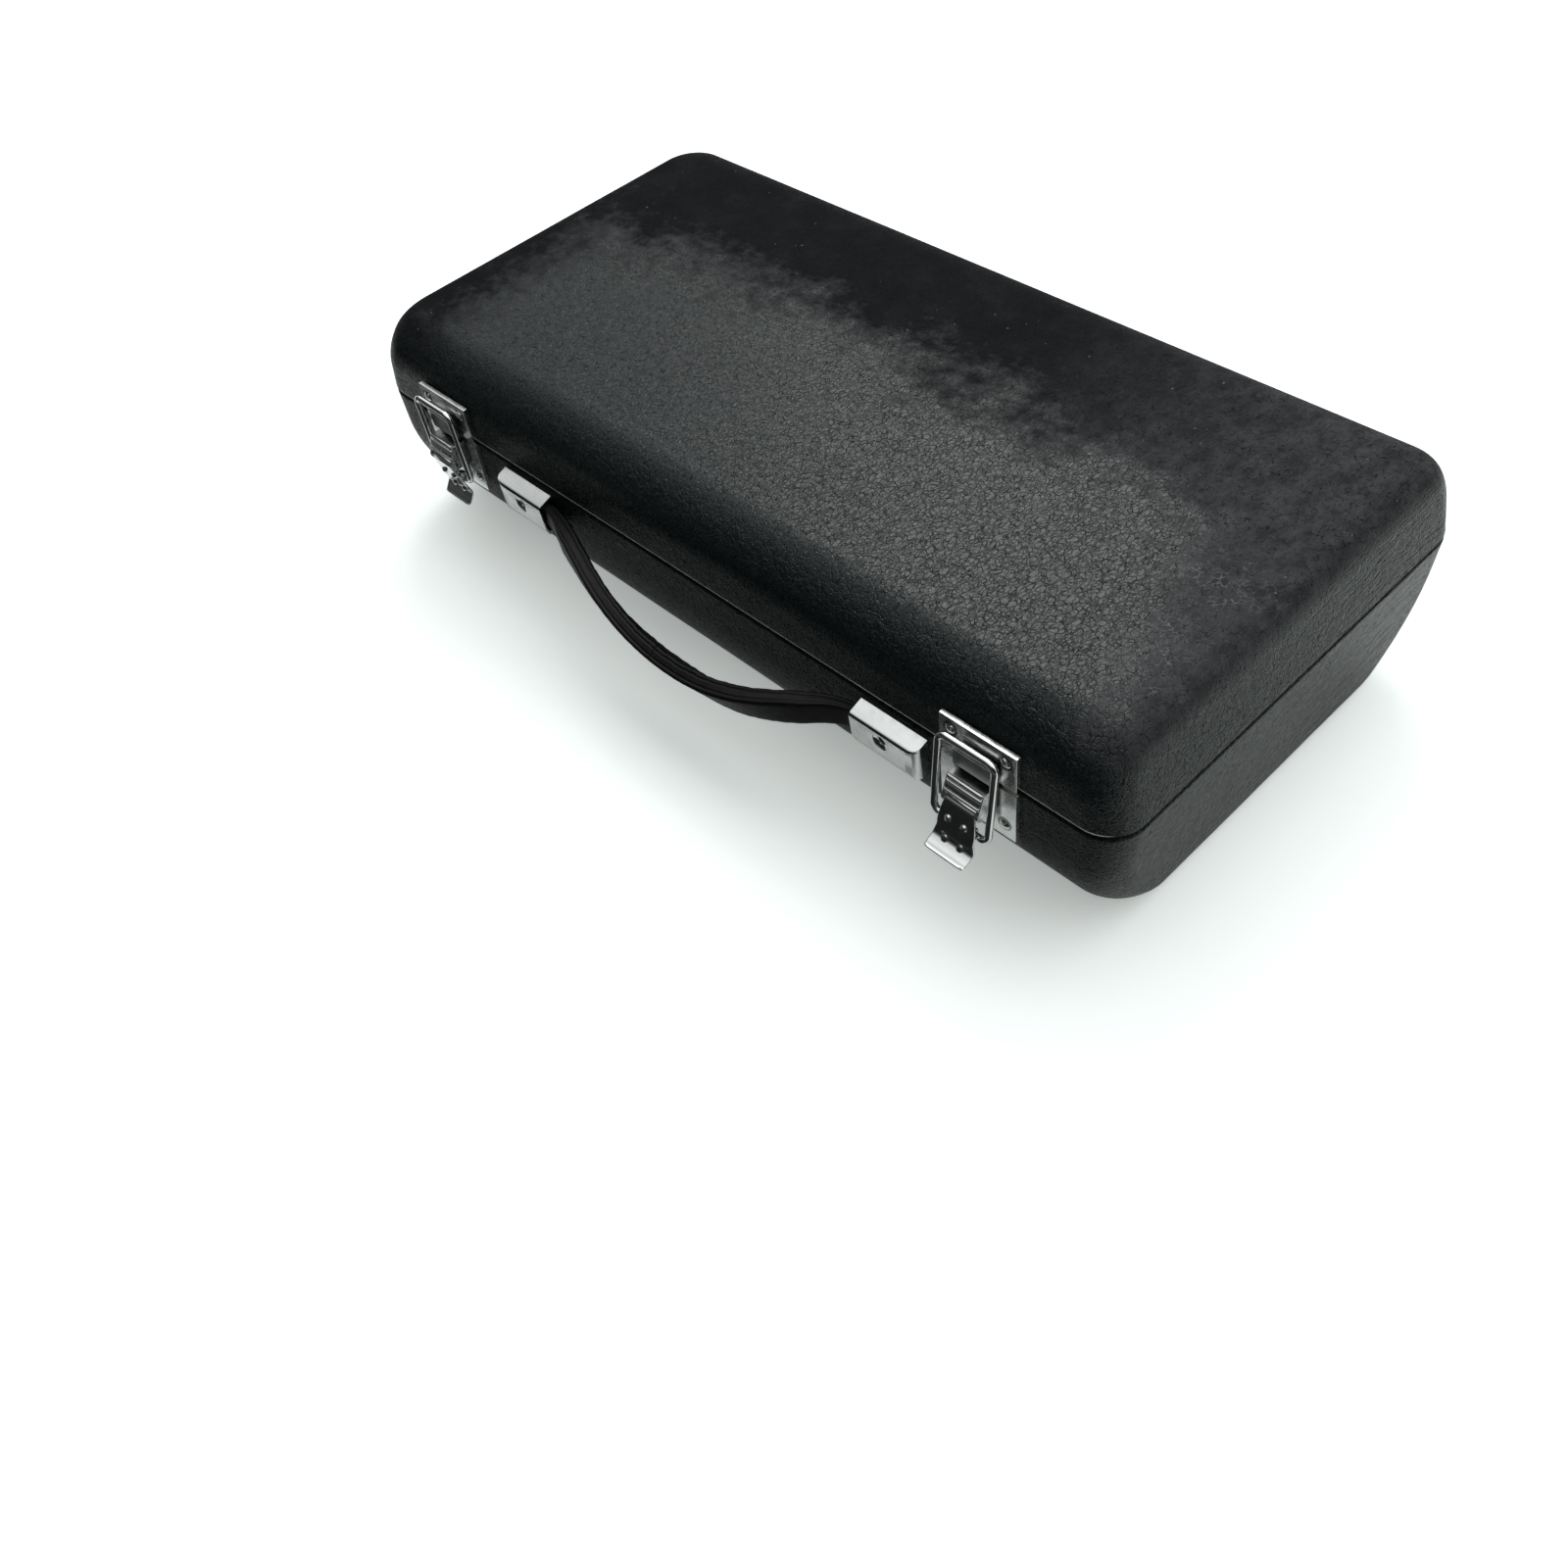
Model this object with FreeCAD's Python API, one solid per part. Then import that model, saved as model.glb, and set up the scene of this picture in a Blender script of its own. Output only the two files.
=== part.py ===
import FreeCAD, Part
import math
import os
from FreeCAD import Vector

# Instrument case, millimetres. X runs along the case, -Y is the front with the
# latches and the handle, +Y is the back with the hinges, +Z is up. The origin is
# the middle of the flat bottom.

# Case body
case_length = 360.0
case_width = 176.0
case_height = 87.0
parting_height = 56.0
parting_gap = 1.2
corner_radius = 12.5
lid_shoulder_radius = 18.5
lid_end_radius = 6.0
lid_end_draft_deg = 12.0
base_belly_radius = 43.0
base_end_radius = 8.0
base_end_draft_deg = 4.5
cover_thickness = 0.8
bottom_proud = 0.15
shell_thickness = 2.2
glue_gap = 0.05
round_steps = 9

# Rim strip that stands in the parting gap
strip_seat_depth = 7.0
strip_stand = 3.4
strip_seat_width = 2.1
strip_stand_width = 0.9

# Plush inside
lining_thickness = 1.2
plush_clearance = 0.15
tray_drop = 2.0
tray_wall = 6.0
bell_floor = 1.2
lower_joint_length = 258.0
lower_joint_radius = 20.5
lower_joint_depth = 38.0
upper_joint_length = 232.0
upper_joint_radius = 16.5
upper_joint_depth = 33.0
barrel_radius = 17.5
barrel_depth = 34.0
mouthpiece_radius = 15.5
mouthpiece_depth = 31.0
bell_length = 112.0
bell_mouth_radius = 38.8
bell_neck_radius = 17.0
accessory_depth = 32.0
accessory_width = 56.0

# Latches
latch_end_margin = 48.5
latch_width = 29.0
pan_depth = 1.8
sheet = 0.8
keeper_height = 14.4
keeper_setback = 0.3
plate_height = 20.4
plate_setback = 0.6
hook_width = 14.4
hook_reach = 4.6
hook_height = 7.2
pivot_stand = 8.0
pivot_drop = 8.8
pivot_radius = 1.1
bracket_width = 14.2
bracket_sheet = 1.0
bracket_top_stand = 7.2
bracket_top_drop = 0.4
bracket_bulge = 1.2
bracket_lip_clearance = 0.8
ear_radius = 2.2
lever_sheet = 0.9
lever_side_clearance = 0.3
lever_knuckle_radius = 2.0
lever_length = 19.0
lever_width = 14.4
tab_width = 15.8
loop_arm = 8.0
loop_setback = 2.6
loop_length = 31.0
loop_width = 21.3
loop_wire_radius = 1.2
loop_corner_radius = 3.0
loop_lean_deg = -1.7
eye_radius = 2.1
eye_width = 3.2
eye_spacing = 7.6
running_clearance = 0.05

# Profile of the closed lever from its knuckle to its curled tab: shares of its
# length, outwards from the pivot and downwards from it
lever_profile_shares = [(0.105, 0.0), (0.07, 0.16), (-0.06, 0.60), (-0.045, 0.66),
                        (-0.115, 0.94), (-0.06, 1.0)]
tab_start_index = 2

# The left lever is shut and the right one stands a little open. The loop leans in
# as the lever rises, by this share of its lift
lever_lift_deg = {"left": 0.0, "right": 30.0}
loop_lean_share = 0.275

# Rivets
rivet_head_radius = 1.9
rivet_head_height = 0.7
rivet_shank_radius = 1.1
rivet_inset = 4.2
plate_rivet_rise = 5.2

# Handle
handle_offset = 4.5
handle_height = 46.2
strap_span = 156.6
strap_width = 10.8
strap_thickness = 6.2
strap_edge_bevel = 1.1
strap_bow = 18.5
strap_droop_deg = 37.0
strap_lean_deg = 36.0
strap_skew_share = 0.1
strap_tongue = 20.0
strap_stations = 13
strap_back_clearance = 1.0
cap_length = 27.4
cap_height = 13.4
cap_reach = 9.4
cap_wall = 0.9
cap_bevel = 1.7
cap_nose_radius = 5.0
cap_rivet_inset = 12.7
cap_rivet_radius = 2.6
cap_rivet_recess = 0.4
cap_rivet_shank_radius = 1.6
cap_rivet_bore_radius = 1.3
cap_rivet_bore_depth = 2.4
rivet_clearance = 0.05

# Hinges
hinge_end_margin = 75.0
hinge_width = 32.0
hinge_leaf_height = 11.5
hinge_leaf_thickness = 1.0
hinge_knuckle_radius = 2.5
hinge_pin_radius = 1.1
hinge_wall_clearance = 0.3
hinge_leaf_clearance = 0.4
hinge_centre_knuckle = 11.4
hinge_knuckle_gap = 0.3
hinge_rivet_spacing = 20.0

cut_overrun = 1.0

# Places worked out from the sizes above
lid_rim = parting_height + parting_gap
front = -case_width / 2
back = case_width / 2
skin = cover_thickness + glue_gap
wall = skin + shell_thickness
inner = wall + plush_clearance
tray_top = parting_height - tray_drop
latch_offset = case_length / 2 - latch_end_margin
hinge_offset = case_length / 2 - hinge_end_margin
keeper_bottom = lid_rim + keeper_setback
plate_top = parting_height - plate_setback
pivot_height = parting_height - pivot_drop
pivot = Vector(0, front - pivot_stand, pivot_height)
hinge_axis_y = back + hinge_wall_clearance + hinge_knuckle_radius
hinge_axis_z = parting_height + parting_gap / 2


def save(name, shape):
    """Write one node, all its solids in one file."""
    shape.exportStep("parts/" + name + ".step")


def block(x0, x1, y0, y1, z0, z1):
    """Box between two corners."""
    return Part.makeBox(x1 - x0, y1 - y0, z1 - z0, Vector(x0, y0, z0))


def rod(start, end, radius):
    """Round bar from one point to another."""
    return Part.makeCylinder(radius, (end - start).Length, start, end - start)


def along_x(outline, x0, x1):
    """Solid of a closed outline of (y, z) points, from x0 to x1."""
    points = [Vector(x0, y, z) for y, z in outline]
    face = Part.Face(Part.makePolygon(points + points[:1]))
    return face.extrude(Vector(x1 - x0, 0, 0))


def along_z(outline, z0, z1):
    """Solid of a closed outline of (x, y) points, from z0 to z1."""
    points = [Vector(x, y, z0) for x, y in outline]
    face = Part.Face(Part.makePolygon(points + points[:1]))
    return face.extrude(Vector(0, 0, z1 - z0))


def join(shapes):
    """One solid from shapes that touch or overlap."""
    return shapes[0].multiFuse(shapes[1:]).removeSplitter() if shapes[1:] else shapes[0]


def bundle(shapes):
    """Separate solids in one node."""
    return Part.makeCompound(shapes)


def drill(shape, places, radius, y0, y1):
    """Round holes along Y at (x, z) places."""
    for x, z in places:
        shape = shape.cut(rod(Vector(x, y0, z), Vector(x, y1, z), radius))
    return shape


# Case forms

def plan_wire(half_x, half_y, radius, z):
    """Rounded rectangle of four lines and four arcs."""
    edges = []
    diagonal = radius * math.sqrt(0.5)
    corners = [(1, -1), (1, 1), (-1, 1), (-1, -1)]
    for index, (sx, sy) in enumerate(corners):
        cx = sx * (half_x - radius)
        cy = sy * (half_y - radius)
        first = Vector(cx, cy + sy * radius, z)
        last = Vector(cx + sx * radius, cy, z)
        middle = Vector(cx + sx * diagonal, cy + sy * diagonal, z)
        if index % 2:
            first, last = last, first
        edges.append(Part.Arc(first, middle, last).toShape())
    lines = []
    for index, edge in enumerate(edges):
        following = edges[(index + 1) % len(edges)]
        lines.append(Part.makeLine(edge.lastVertex().Point, following.firstVertex().Point))
    return Part.Wire([edge for pair in zip(edges, lines) for edge in pair])


def rounding(radius, depth):
    """How far a quarter round has drawn in, at a depth below its crown."""
    if depth >= radius:
        return 0.0
    return radius - math.sqrt(radius ** 2 - (radius - depth) ** 2)


def body_form(inset, rim, crown, side_radius, end_radius, draft_deg, overrun):
    """Closed form of the lid or the base, set in by inset from the outer skin."""
    up = 1 if crown > rim else -1
    crown -= up * inset
    side_radius -= inset
    end_radius -= inset
    radius = corner_radius - inset
    lean = math.tan(math.radians(draft_deg))

    def level(z, drawn_in):
        depth = abs(crown - z)
        half_x = case_length / 2 - inset - lean * abs(z - rim) - rounding(end_radius, depth)
        return plan_wire(half_x, case_width / 2 - inset - drawn_in, radius, z)

    round_levels = []
    for step in range(round_steps + 1):
        angle = math.radians(90) * step / round_steps
        z = crown - up * side_radius * (1 - math.sin(angle))
        round_levels.append(level(z, side_radius * (1 - math.cos(angle))))
    form = Part.makeLoft(round_levels, True, False)
    walls = Part.makeLoft([level(rim, 0), round_levels[0]], True, True)
    solids = [form, walls]
    if overrun:
        rim_wire = level(rim, 0)
        solids.append(Part.Face(rim_wire).extrude(Vector(0, 0, -up * overrun)))
    return join(solids)


def lid_form(inset, overrun=0):
    return body_form(inset, lid_rim, case_height, lid_shoulder_radius, lid_end_radius,
                     lid_end_draft_deg, overrun)


def base_form(inset, overrun=0):
    return body_form(inset, parting_height, bottom_proud, base_belly_radius, base_end_radius,
                     base_end_draft_deg, overrun)


def slab(z0, z1):
    """Everything between two heights."""
    reach = case_length + case_width
    return block(-reach, reach, -reach, reach, z0, z1)


# Places of the rivets, as (x, z)
latch_places = [-latch_offset, latch_offset]
hinge_places = [-hinge_offset, hinge_offset]
rivet_half = latch_width / 2 - rivet_inset
keeper_rivet_z = keeper_bottom + keeper_height - rivet_inset
plate_rivet_z = plate_top - plate_height + plate_rivet_rise
keeper_rivets = [(x + s * rivet_half, keeper_rivet_z) for x in latch_places for s in (-1, 1)]
plate_rivets = [(x + s * rivet_half, plate_rivet_z) for x in latch_places for s in (-1, 1)]
cap_rivet_half = strap_span / 2 + cap_rivet_inset
cap_rivets = [(handle_offset + s * cap_rivet_half, handle_height) for s in (-1, 1)]
leaf_gap = hinge_knuckle_radius + hinge_leaf_clearance
upper_leaf_bottom = hinge_axis_z + leaf_gap
lower_leaf_top = hinge_axis_z - leaf_gap
hinge_rivet_x = [x + s * hinge_rivet_spacing / 2 for x in hinge_places for s in (-1, 1)]
lid_hinge_rivets = [(x, upper_leaf_bottom + hinge_leaf_height / 2) for x in hinge_rivet_x]
base_hinge_rivets = [(x, lower_leaf_top - hinge_leaf_height / 2) for x in hinge_rivet_x]
hole_radius = rivet_shank_radius + rivet_clearance
cap_hole_radius = cap_rivet_shank_radius + rivet_clearance


def drill_wall(shape, front_places, back_places):
    """Rivet holes through the front and back walls of a cover or shell."""
    depth = wall + cut_overrun
    shape = drill(shape, front_places, hole_radius, front - cut_overrun, front + depth)
    return drill(shape, back_places, hole_radius, back - depth, back + cut_overrun)


# Shells and covers

def lid_pieces():
    shell_outside = lid_form(skin)
    cover = lid_form(0).cut(lid_form(cover_thickness, cut_overrun))
    shell = shell_outside.cut(lid_form(wall, cut_overrun))
    lining_room = slab(lid_rim + strip_stand + plush_clearance, case_height)
    lining = lid_form(inner).cut(lid_form(inner + lining_thickness, cut_overrun)).common(lining_room)
    save("lid_cover", drill_wall(cover, keeper_rivets, lid_hinge_rivets))
    save("lid_shell", drill_wall(shell, keeper_rivets, lid_hinge_rivets))
    save("lid_lining", lining)


def base_pieces():
    lean_in = math.tan(math.radians(base_end_draft_deg)) * (parting_height - bottom_proud)
    half_x = case_length / 2 - lean_in - base_end_radius
    edge = plan_wire(half_x, case_width / 2 - base_belly_radius, corner_radius, 0)
    bottom = Part.Face(edge).extrude(Vector(0, 0, bottom_proud + cover_thickness))
    cover = base_form(0).cut(base_form(cover_thickness, cut_overrun)).cut(bottom)
    shell = base_form(skin).cut(base_form(wall, cut_overrun))
    for name, piece in (("base_cover", cover), ("base_shell", shell)):
        piece = drill(piece, cap_rivets, cap_hole_radius, front - cut_overrun,
                      front + wall + cut_overrun)
        save(name, drill_wall(piece, plate_rivets, base_hinge_rivets))
    save("bottom_cover", bottom)


def strip_ring(growth):
    """Rim strip, or the room that it needs in the tray when growth is its clearance."""
    rise = parting_gap + strip_stand
    outside = wall + glue_gap
    inside = outside + strip_seat_width
    low = parting_height - strip_seat_depth - growth
    hole = base_form(inside + growth, rise + cut_overrun)
    seat = base_form(outside - growth).common(slab(low, parting_height))
    stand = base_form(inside - strip_stand_width, rise).common(slab(low, parting_height + rise))
    return join([seat, stand]).cut(hole)


# Fitted tray

def trough(x0, x1, y, radius, depth):
    """Round-bottomed place for a tube lying along X, open at the top."""
    axis_z = tray_top - depth + radius
    tube = rod(Vector(x0, y, axis_z), Vector(x1, y, axis_z), radius)
    return tube.fuse(block(x0, x1, y - radius, y + radius, axis_z, tray_top + cut_overrun))


def bell_well(x0, x1, y):
    """Flared place for the bell, its mouth at x1."""
    axis_z = inner + bell_floor + bell_mouth_radius
    cone = Part.makeCone(bell_neck_radius, bell_mouth_radius, x1 - x0,
                         Vector(x0, y, axis_z), Vector(1, 0, 0))
    outline = [(x0, y - bell_neck_radius), (x1, y - bell_mouth_radius),
               (x1, y + bell_mouth_radius), (x0, y + bell_neck_radius)]
    return cone.fuse(along_z(outline, axis_z, max(axis_z, tray_top) + cut_overrun))


def tray():
    half_room = case_length / 2 - inner - tray_wall
    half_depth = case_width / 2 - inner - tray_wall / 2
    body = base_form(inner).common(slab(0, tray_top)).cut(strip_ring(plush_clearance))
    front_y = -half_depth + lower_joint_radius
    middle_y = front_y + lower_joint_radius + tray_wall / 2 + upper_joint_radius
    bell_y = half_depth - bell_mouth_radius
    bell_start = half_room - bell_length
    accessory_y = half_depth - tray_wall
    wells = [
        trough(-half_room, lower_joint_length - half_room, front_y,
               lower_joint_radius, lower_joint_depth),
        trough(lower_joint_length - half_room + tray_wall, half_room, front_y,
               barrel_radius, barrel_depth),
        trough(-half_room, upper_joint_length - half_room, middle_y,
               upper_joint_radius, upper_joint_depth),
        trough(upper_joint_length - half_room + tray_wall, half_room, middle_y,
               mouthpiece_radius, mouthpiece_depth),
        bell_well(bell_start, half_room, bell_y),
        block(-half_room, bell_start - tray_wall, accessory_y - accessory_width, accessory_y,
              tray_top - accessory_depth, tray_top + cut_overrun),
    ]
    for well in wells:
        body = body.cut(well)
    save("fitted_tray", body)


# Latches

def proud(stand):
    """Y of a point that stands this far out of the front wall."""
    return front - stand


def pan(x, width, z0, z1):
    """Shallow stamped plate with turned edges, its open side on the front wall."""
    plate = block(x - width / 2, x + width / 2, proud(pan_depth), front, z0, z1)
    hollow = block(x - width / 2 + sheet, x + width / 2 - sheet, proud(pan_depth - sheet),
                   front, z0 + sheet, z1 - sheet)
    return plate.cut(hollow)


def keeper(x):
    plate = pan(x, latch_width, keeper_bottom, keeper_bottom + keeper_height)
    x0 = x - hook_width / 2
    x1 = x + hook_width / 2
    web = block(x0, x1, proud(hook_reach), proud(pan_depth), keeper_bottom, keeper_bottom + sheet)
    lip = block(x0, x1, proud(hook_reach), proud(hook_reach - sheet), keeper_bottom,
                keeper_bottom + hook_height)
    return drill(join([plate, web, lip]), keeper_rivets, hole_radius,
                 proud(hook_reach + cut_overrun), front)


def latch_plate(x):
    """Pan with a bent bracket whose two ears hold the pivot pin."""
    top = plate_top - bracket_top_drop
    root = proud(pan_depth - sheet)
    lip = (proud(pivot_stand + bracket_bulge),
           pivot_height + lever_knuckle_radius + bracket_lip_clearance)
    roof = [(root, top), (proud(bracket_top_stand), top), lip]
    low = pivot_height - ear_radius
    ear = roof + [(proud(pivot_stand + ear_radius), pivot_height), (proud(pivot_stand), low),
                  (root, low)]
    half = bracket_width / 2
    solids = [pan(x, latch_width, plate_top - plate_height, plate_top),
              along_x(sheet_outline(roof, bracket_sheet), x - half, x + half)]
    for side in (-1, 1):
        x0, x1 = sorted((x + side * half, x + side * (half - bracket_sheet)))
        solids.append(along_x(ear, x0, x1))
        solids.append(cross_rod(x0, x1, pivot, ear_radius))
    body = join(solids).cut(pivot_pin(x, pivot_radius))
    return drill(body, plate_rivets, hole_radius, proud(pan_depth + cut_overrun), front)


def cross_rod(x0, x1, centre, radius):
    """Round bar along X at the height and stand of a point."""
    return rod(Vector(x0, centre.y, centre.z), Vector(x1, centre.y, centre.z), radius)


def pivot_pin(x, radius):
    """Bar through both ears."""
    return cross_rod(x - bracket_width / 2, x + bracket_width / 2, pivot, radius)


def sheet_outline(points, thickness):
    """Closed outline of a bent sheet whose outer face follows the points."""
    inner_side = []
    for index, (y, z) in enumerate(points):
        y0, z0 = points[max(index - 1, 0)]
        y1, z1 = points[min(index + 1, len(points) - 1)]
        run = math.hypot(y1 - y0, z1 - z0)
        inner_side.append((y - thickness * (z1 - z0) / run, z + thickness * (y1 - y0) / run))
    return points + inner_side[::-1]


def raised(shape, lift_deg):
    """Turn a closed lever about its pivot."""
    shape.rotate(pivot, Vector(-1, 0, 0), lift_deg)
    return shape


def lever(x, lift_deg):
    """Sheet lever with a knuckle at the pivot and two eyes for the loop behind it."""
    profile = [(pivot.y - out * lever_length, pivot.z - down * lever_length)
               for out, down in lever_profile_shares]
    neck = bracket_width / 2 - bracket_sheet - lever_side_clearance
    eye = pivot + Vector(0, loop_setback, -loop_arm)
    solids = [
        cross_rod(x - neck, x + neck, pivot, lever_knuckle_radius),
        along_x(sheet_outline(profile[:tab_start_index + 1], lever_sheet), x - neck, x + neck),
        along_x(sheet_outline(profile[1:tab_start_index + 2], lever_sheet),
                x - lever_width / 2, x + lever_width / 2),
        along_x(sheet_outline(profile[tab_start_index:], lever_sheet),
                x - tab_width / 2, x + tab_width / 2),
    ]
    for side in (-1, 1):
        middle = x + side * eye_spacing / 2
        solids.append(cross_rod(middle - eye_width / 2, middle + eye_width / 2, eye, eye_radius))
    body = join(solids).cut(pivot_pin(x, pivot_radius + running_clearance))
    body = body.cut(cross_rod(x - lever_width, x + lever_width, eye,
                              loop_wire_radius + running_clearance))
    return raised(body, lift_deg)


def draw_loop(x, lift_deg):
    """Closed wire ring, its lower bar in the eyes of the lever."""
    half = loop_width / 2
    r = loop_corner_radius
    inside = half - r
    solids = [
        rod(Vector(-inside, 0, 0), Vector(inside, 0, 0), loop_wire_radius),
        rod(Vector(-inside, 0, loop_length), Vector(inside, 0, loop_length), loop_wire_radius),
        rod(Vector(-half, 0, r), Vector(-half, 0, loop_length - r), loop_wire_radius),
        rod(Vector(half, 0, r), Vector(half, 0, loop_length - r), loop_wire_radius),
    ]
    corners = [(inside, loop_length - r), (-inside, loop_length - r), (-inside, r), (inside, r)]
    for quarter, (cx, cz) in enumerate(corners):
        bend = Part.makeTorus(r, loop_wire_radius, Vector(0, 0, 0), Vector(0, 0, 1), -180, 180, 90)
        bend.rotate(Vector(0, 0, 0), Vector(0, 0, 1), 90 * quarter)
        bend.rotate(Vector(0, 0, 0), Vector(1, 0, 0), 90)
        bend.translate(Vector(cx, 0, cz))
        solids.append(bend)
    ring = join(solids)
    lean = loop_lean_deg + loop_lean_share * lift_deg
    ring.rotate(Vector(0, 0, 0), Vector(-1, 0, 0), lean)
    arm = FreeCAD.Rotation(Vector(-1, 0, 0), lift_deg).multVec(Vector(0, loop_setback, -loop_arm))
    ring.translate(pivot + arm + Vector(x, 0, 0))
    return ring


def rivet(x, z, seat, facing):
    """Domed rivet through the wall. Its head sits at y = seat, on the facing side."""
    head_y = seat + facing * rivet_head_height
    ball_radius = (rivet_head_radius ** 2 + rivet_head_height ** 2) / (2 * rivet_head_height)
    dome = Part.makeSphere(ball_radius, Vector(x, head_y - facing * ball_radius, z))
    dome = dome.common(rod(Vector(x, seat, z), Vector(x, head_y, z), rivet_head_radius))
    end = math.copysign(case_width / 2 - wall, facing)
    shank = rod(Vector(x, seat, z), Vector(x, end, z), rivet_shank_radius)
    return join([dome, shank])


def latches():
    for side, x in zip(("left", "right"), latch_places):
        save("latch_keeper_" + side, keeper(x))
        save("latch_plate_" + side, latch_plate(x))
        save("latch_pivot_pin_" + side, pivot_pin(x, pivot_radius))
        save("latch_lever_" + side, lever(x, lever_lift_deg[side]))
        save("latch_loop_" + side, draw_loop(x, lever_lift_deg[side]))
    seat = proud(pan_depth)
    save("latch_keeper_rivets", bundle([rivet(x, z, seat, -1) for x, z in keeper_rivets]))
    save("latch_plate_rivets", bundle([rivet(x, z, seat, -1) for x, z in plate_rivets]))


# Handle

def cap_form(inset):
    """Outside of a handle cap at the right-hand end, or its hollow when set in."""
    mouth = strap_span / 2 - (cut_overrun if inset else 0)
    end = strap_span / 2 + cap_length - inset
    reach = cap_reach - inset
    nose = cap_nose_radius - inset
    low = handle_height - cap_height / 2 + inset
    high = handle_height + cap_height / 2 - inset
    bevel = cap_bevel - inset / 2
    rear = front + (cut_overrun if inset else 0)
    arc = Part.Arc(Vector(end - nose, proud(reach), low),
                   Vector(end - nose + nose * math.sqrt(0.5),
                          proud(reach - nose + nose * math.sqrt(0.5)), low),
                   Vector(end, proud(reach - nose), low)).toShape()
    corners = [Vector(end, rear, low), Vector(mouth, rear, low), Vector(mouth, proud(reach), low)]
    route = [arc.lastVertex().Point] + corners + [arc.firstVertex().Point]
    lines = [Part.makeLine(a, b) for a, b in zip(route, route[1:])]
    plan = Part.Face(Part.Wire([arc] + lines)).extrude(Vector(0, 0, high - low))
    outline = [(rear, low), (proud(reach - bevel), low), (proud(reach), low + bevel),
               (proud(reach), high - bevel), (proud(reach - bevel), high), (rear, high)]
    return plan.common(along_x(outline, mouth, end))


def cap(side):
    body = cap_form(0).cut(cap_form(cap_wall))
    body = body.mirror(Vector(0, 0, 0), Vector(1, 0, 0)) if side < 0 else body
    body.translate(Vector(handle_offset, 0, 0))
    return drill(body, cap_rivets, cap_rivet_radius + rivet_clearance,
                 proud(cap_reach + cut_overrun), proud(strap_back_clearance))


def strap_section(centre, heading, lean):
    """Bevelled section of the strap, square to its run in plan."""
    along = Vector(math.cos(heading), math.sin(heading), 0)
    out = Vector(along.y, -along.x, 0) * math.cos(lean) - Vector(0, 0, math.sin(lean))
    up = out.cross(along) * -1
    half_out = strap_thickness / 2
    half_up = strap_width / 2
    corners = []
    for a, b in ((1, -1), (1, 1), (-1, 1), (-1, -1)):
        near = (a * half_out, b * (half_up - strap_edge_bevel))
        far = (a * (half_out - strap_edge_bevel), b * half_up)
        corners += [near, far] if a == b else [far, near]
    points = [centre + out * u + up * v for u, v in corners]
    return Part.makePolygon(points + points[:1])


def strap():
    """Leather strap bowed out between the caps and drooping in the middle."""
    half = strap_span / 2
    rest_y = proud(strap_back_clearance + strap_thickness / 2)

    def skewed(t):
        return t - strap_skew_share * (1 - t * t)

    def centre(t):
        level = 1 - skewed(t) ** 2
        bow = strap_bow * level ** 2 * (2 - level)
        droop = math.radians(strap_droop_deg) * level
        return Vector(half * t, rest_y - bow * math.cos(droop), handle_height - bow * math.sin(droop))

    sections = []
    for index in range(strap_stations):
        t = 2 * index / (strap_stations - 1) - 1
        lean = math.radians(strap_lean_deg) * (1 - skewed(t) ** 2) ** 3
        run = centre(t + 1 / strap_stations ** 2) - centre(t - 1 / strap_stations ** 2)
        heading = math.atan2(run.y, run.x) if abs(t) < 1 else 0
        sections.append(strap_section(centre(t), heading, lean))
    grip = Part.makeLoft(sections, True, False)
    solids = [grip]
    for wire, side in ((sections[0], -1), (sections[-1], 1)):
        solids.append(Part.Face(wire).extrude(Vector(side * strap_tongue, 0, 0)))
    body = join(solids)
    body.translate(Vector(handle_offset, 0, 0))
    return drill(body, cap_rivets, cap_hole_radius, proud(cap_reach), front)


def cap_rivet(x, z):
    """Hollow rivet that fills the hole in the cap and holds the strap to the wall."""
    face = proud(cap_reach - cap_rivet_recess)
    under = proud(strap_back_clearance + strap_thickness + rivet_clearance)
    head = rod(Vector(x, face, z), Vector(x, under, z), cap_rivet_radius)
    shank = rod(Vector(x, under, z), Vector(x, front + wall, z), cap_rivet_shank_radius)
    bore = rod(Vector(x, face, z), Vector(x, face + cap_rivet_bore_depth, z), cap_rivet_bore_radius)
    return join([head, shank]).cut(bore)


def handle():
    save("handle_strap", strap())
    save("handle_cap_left", cap(-1))
    save("handle_cap_right", cap(1))
    save("handle_rivets", bundle([cap_rivet(x, z) for x, z in cap_rivets]))


# Hinges

def hinge_bar(x0, x1, radius):
    return rod(Vector(x0, hinge_axis_y, hinge_axis_z), Vector(x1, hinge_axis_y, hinge_axis_z), radius)


def hinge_leaf(x, z0, z1, spans, bore_radius, places):
    """Leaf on the back wall, with knuckles over the given spans of X."""
    face = back + hinge_leaf_thickness
    solids = [block(x - hinge_width / 2, x + hinge_width / 2, back, face, z0, z1)]
    root = z0 if z0 > hinge_axis_z else z1
    low, high = sorted((root, hinge_axis_z))
    for x0, x1 in spans:
        link = block(x0, x1, back + hinge_wall_clearance, face, low, high)
        solids += [link, hinge_bar(x0, x1, hinge_knuckle_radius)]
    body = join(solids).cut(hinge_bar(x - hinge_width, x + hinge_width, bore_radius))
    return drill(body, places, hole_radius, back - cut_overrun, face + cut_overrun)


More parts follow.
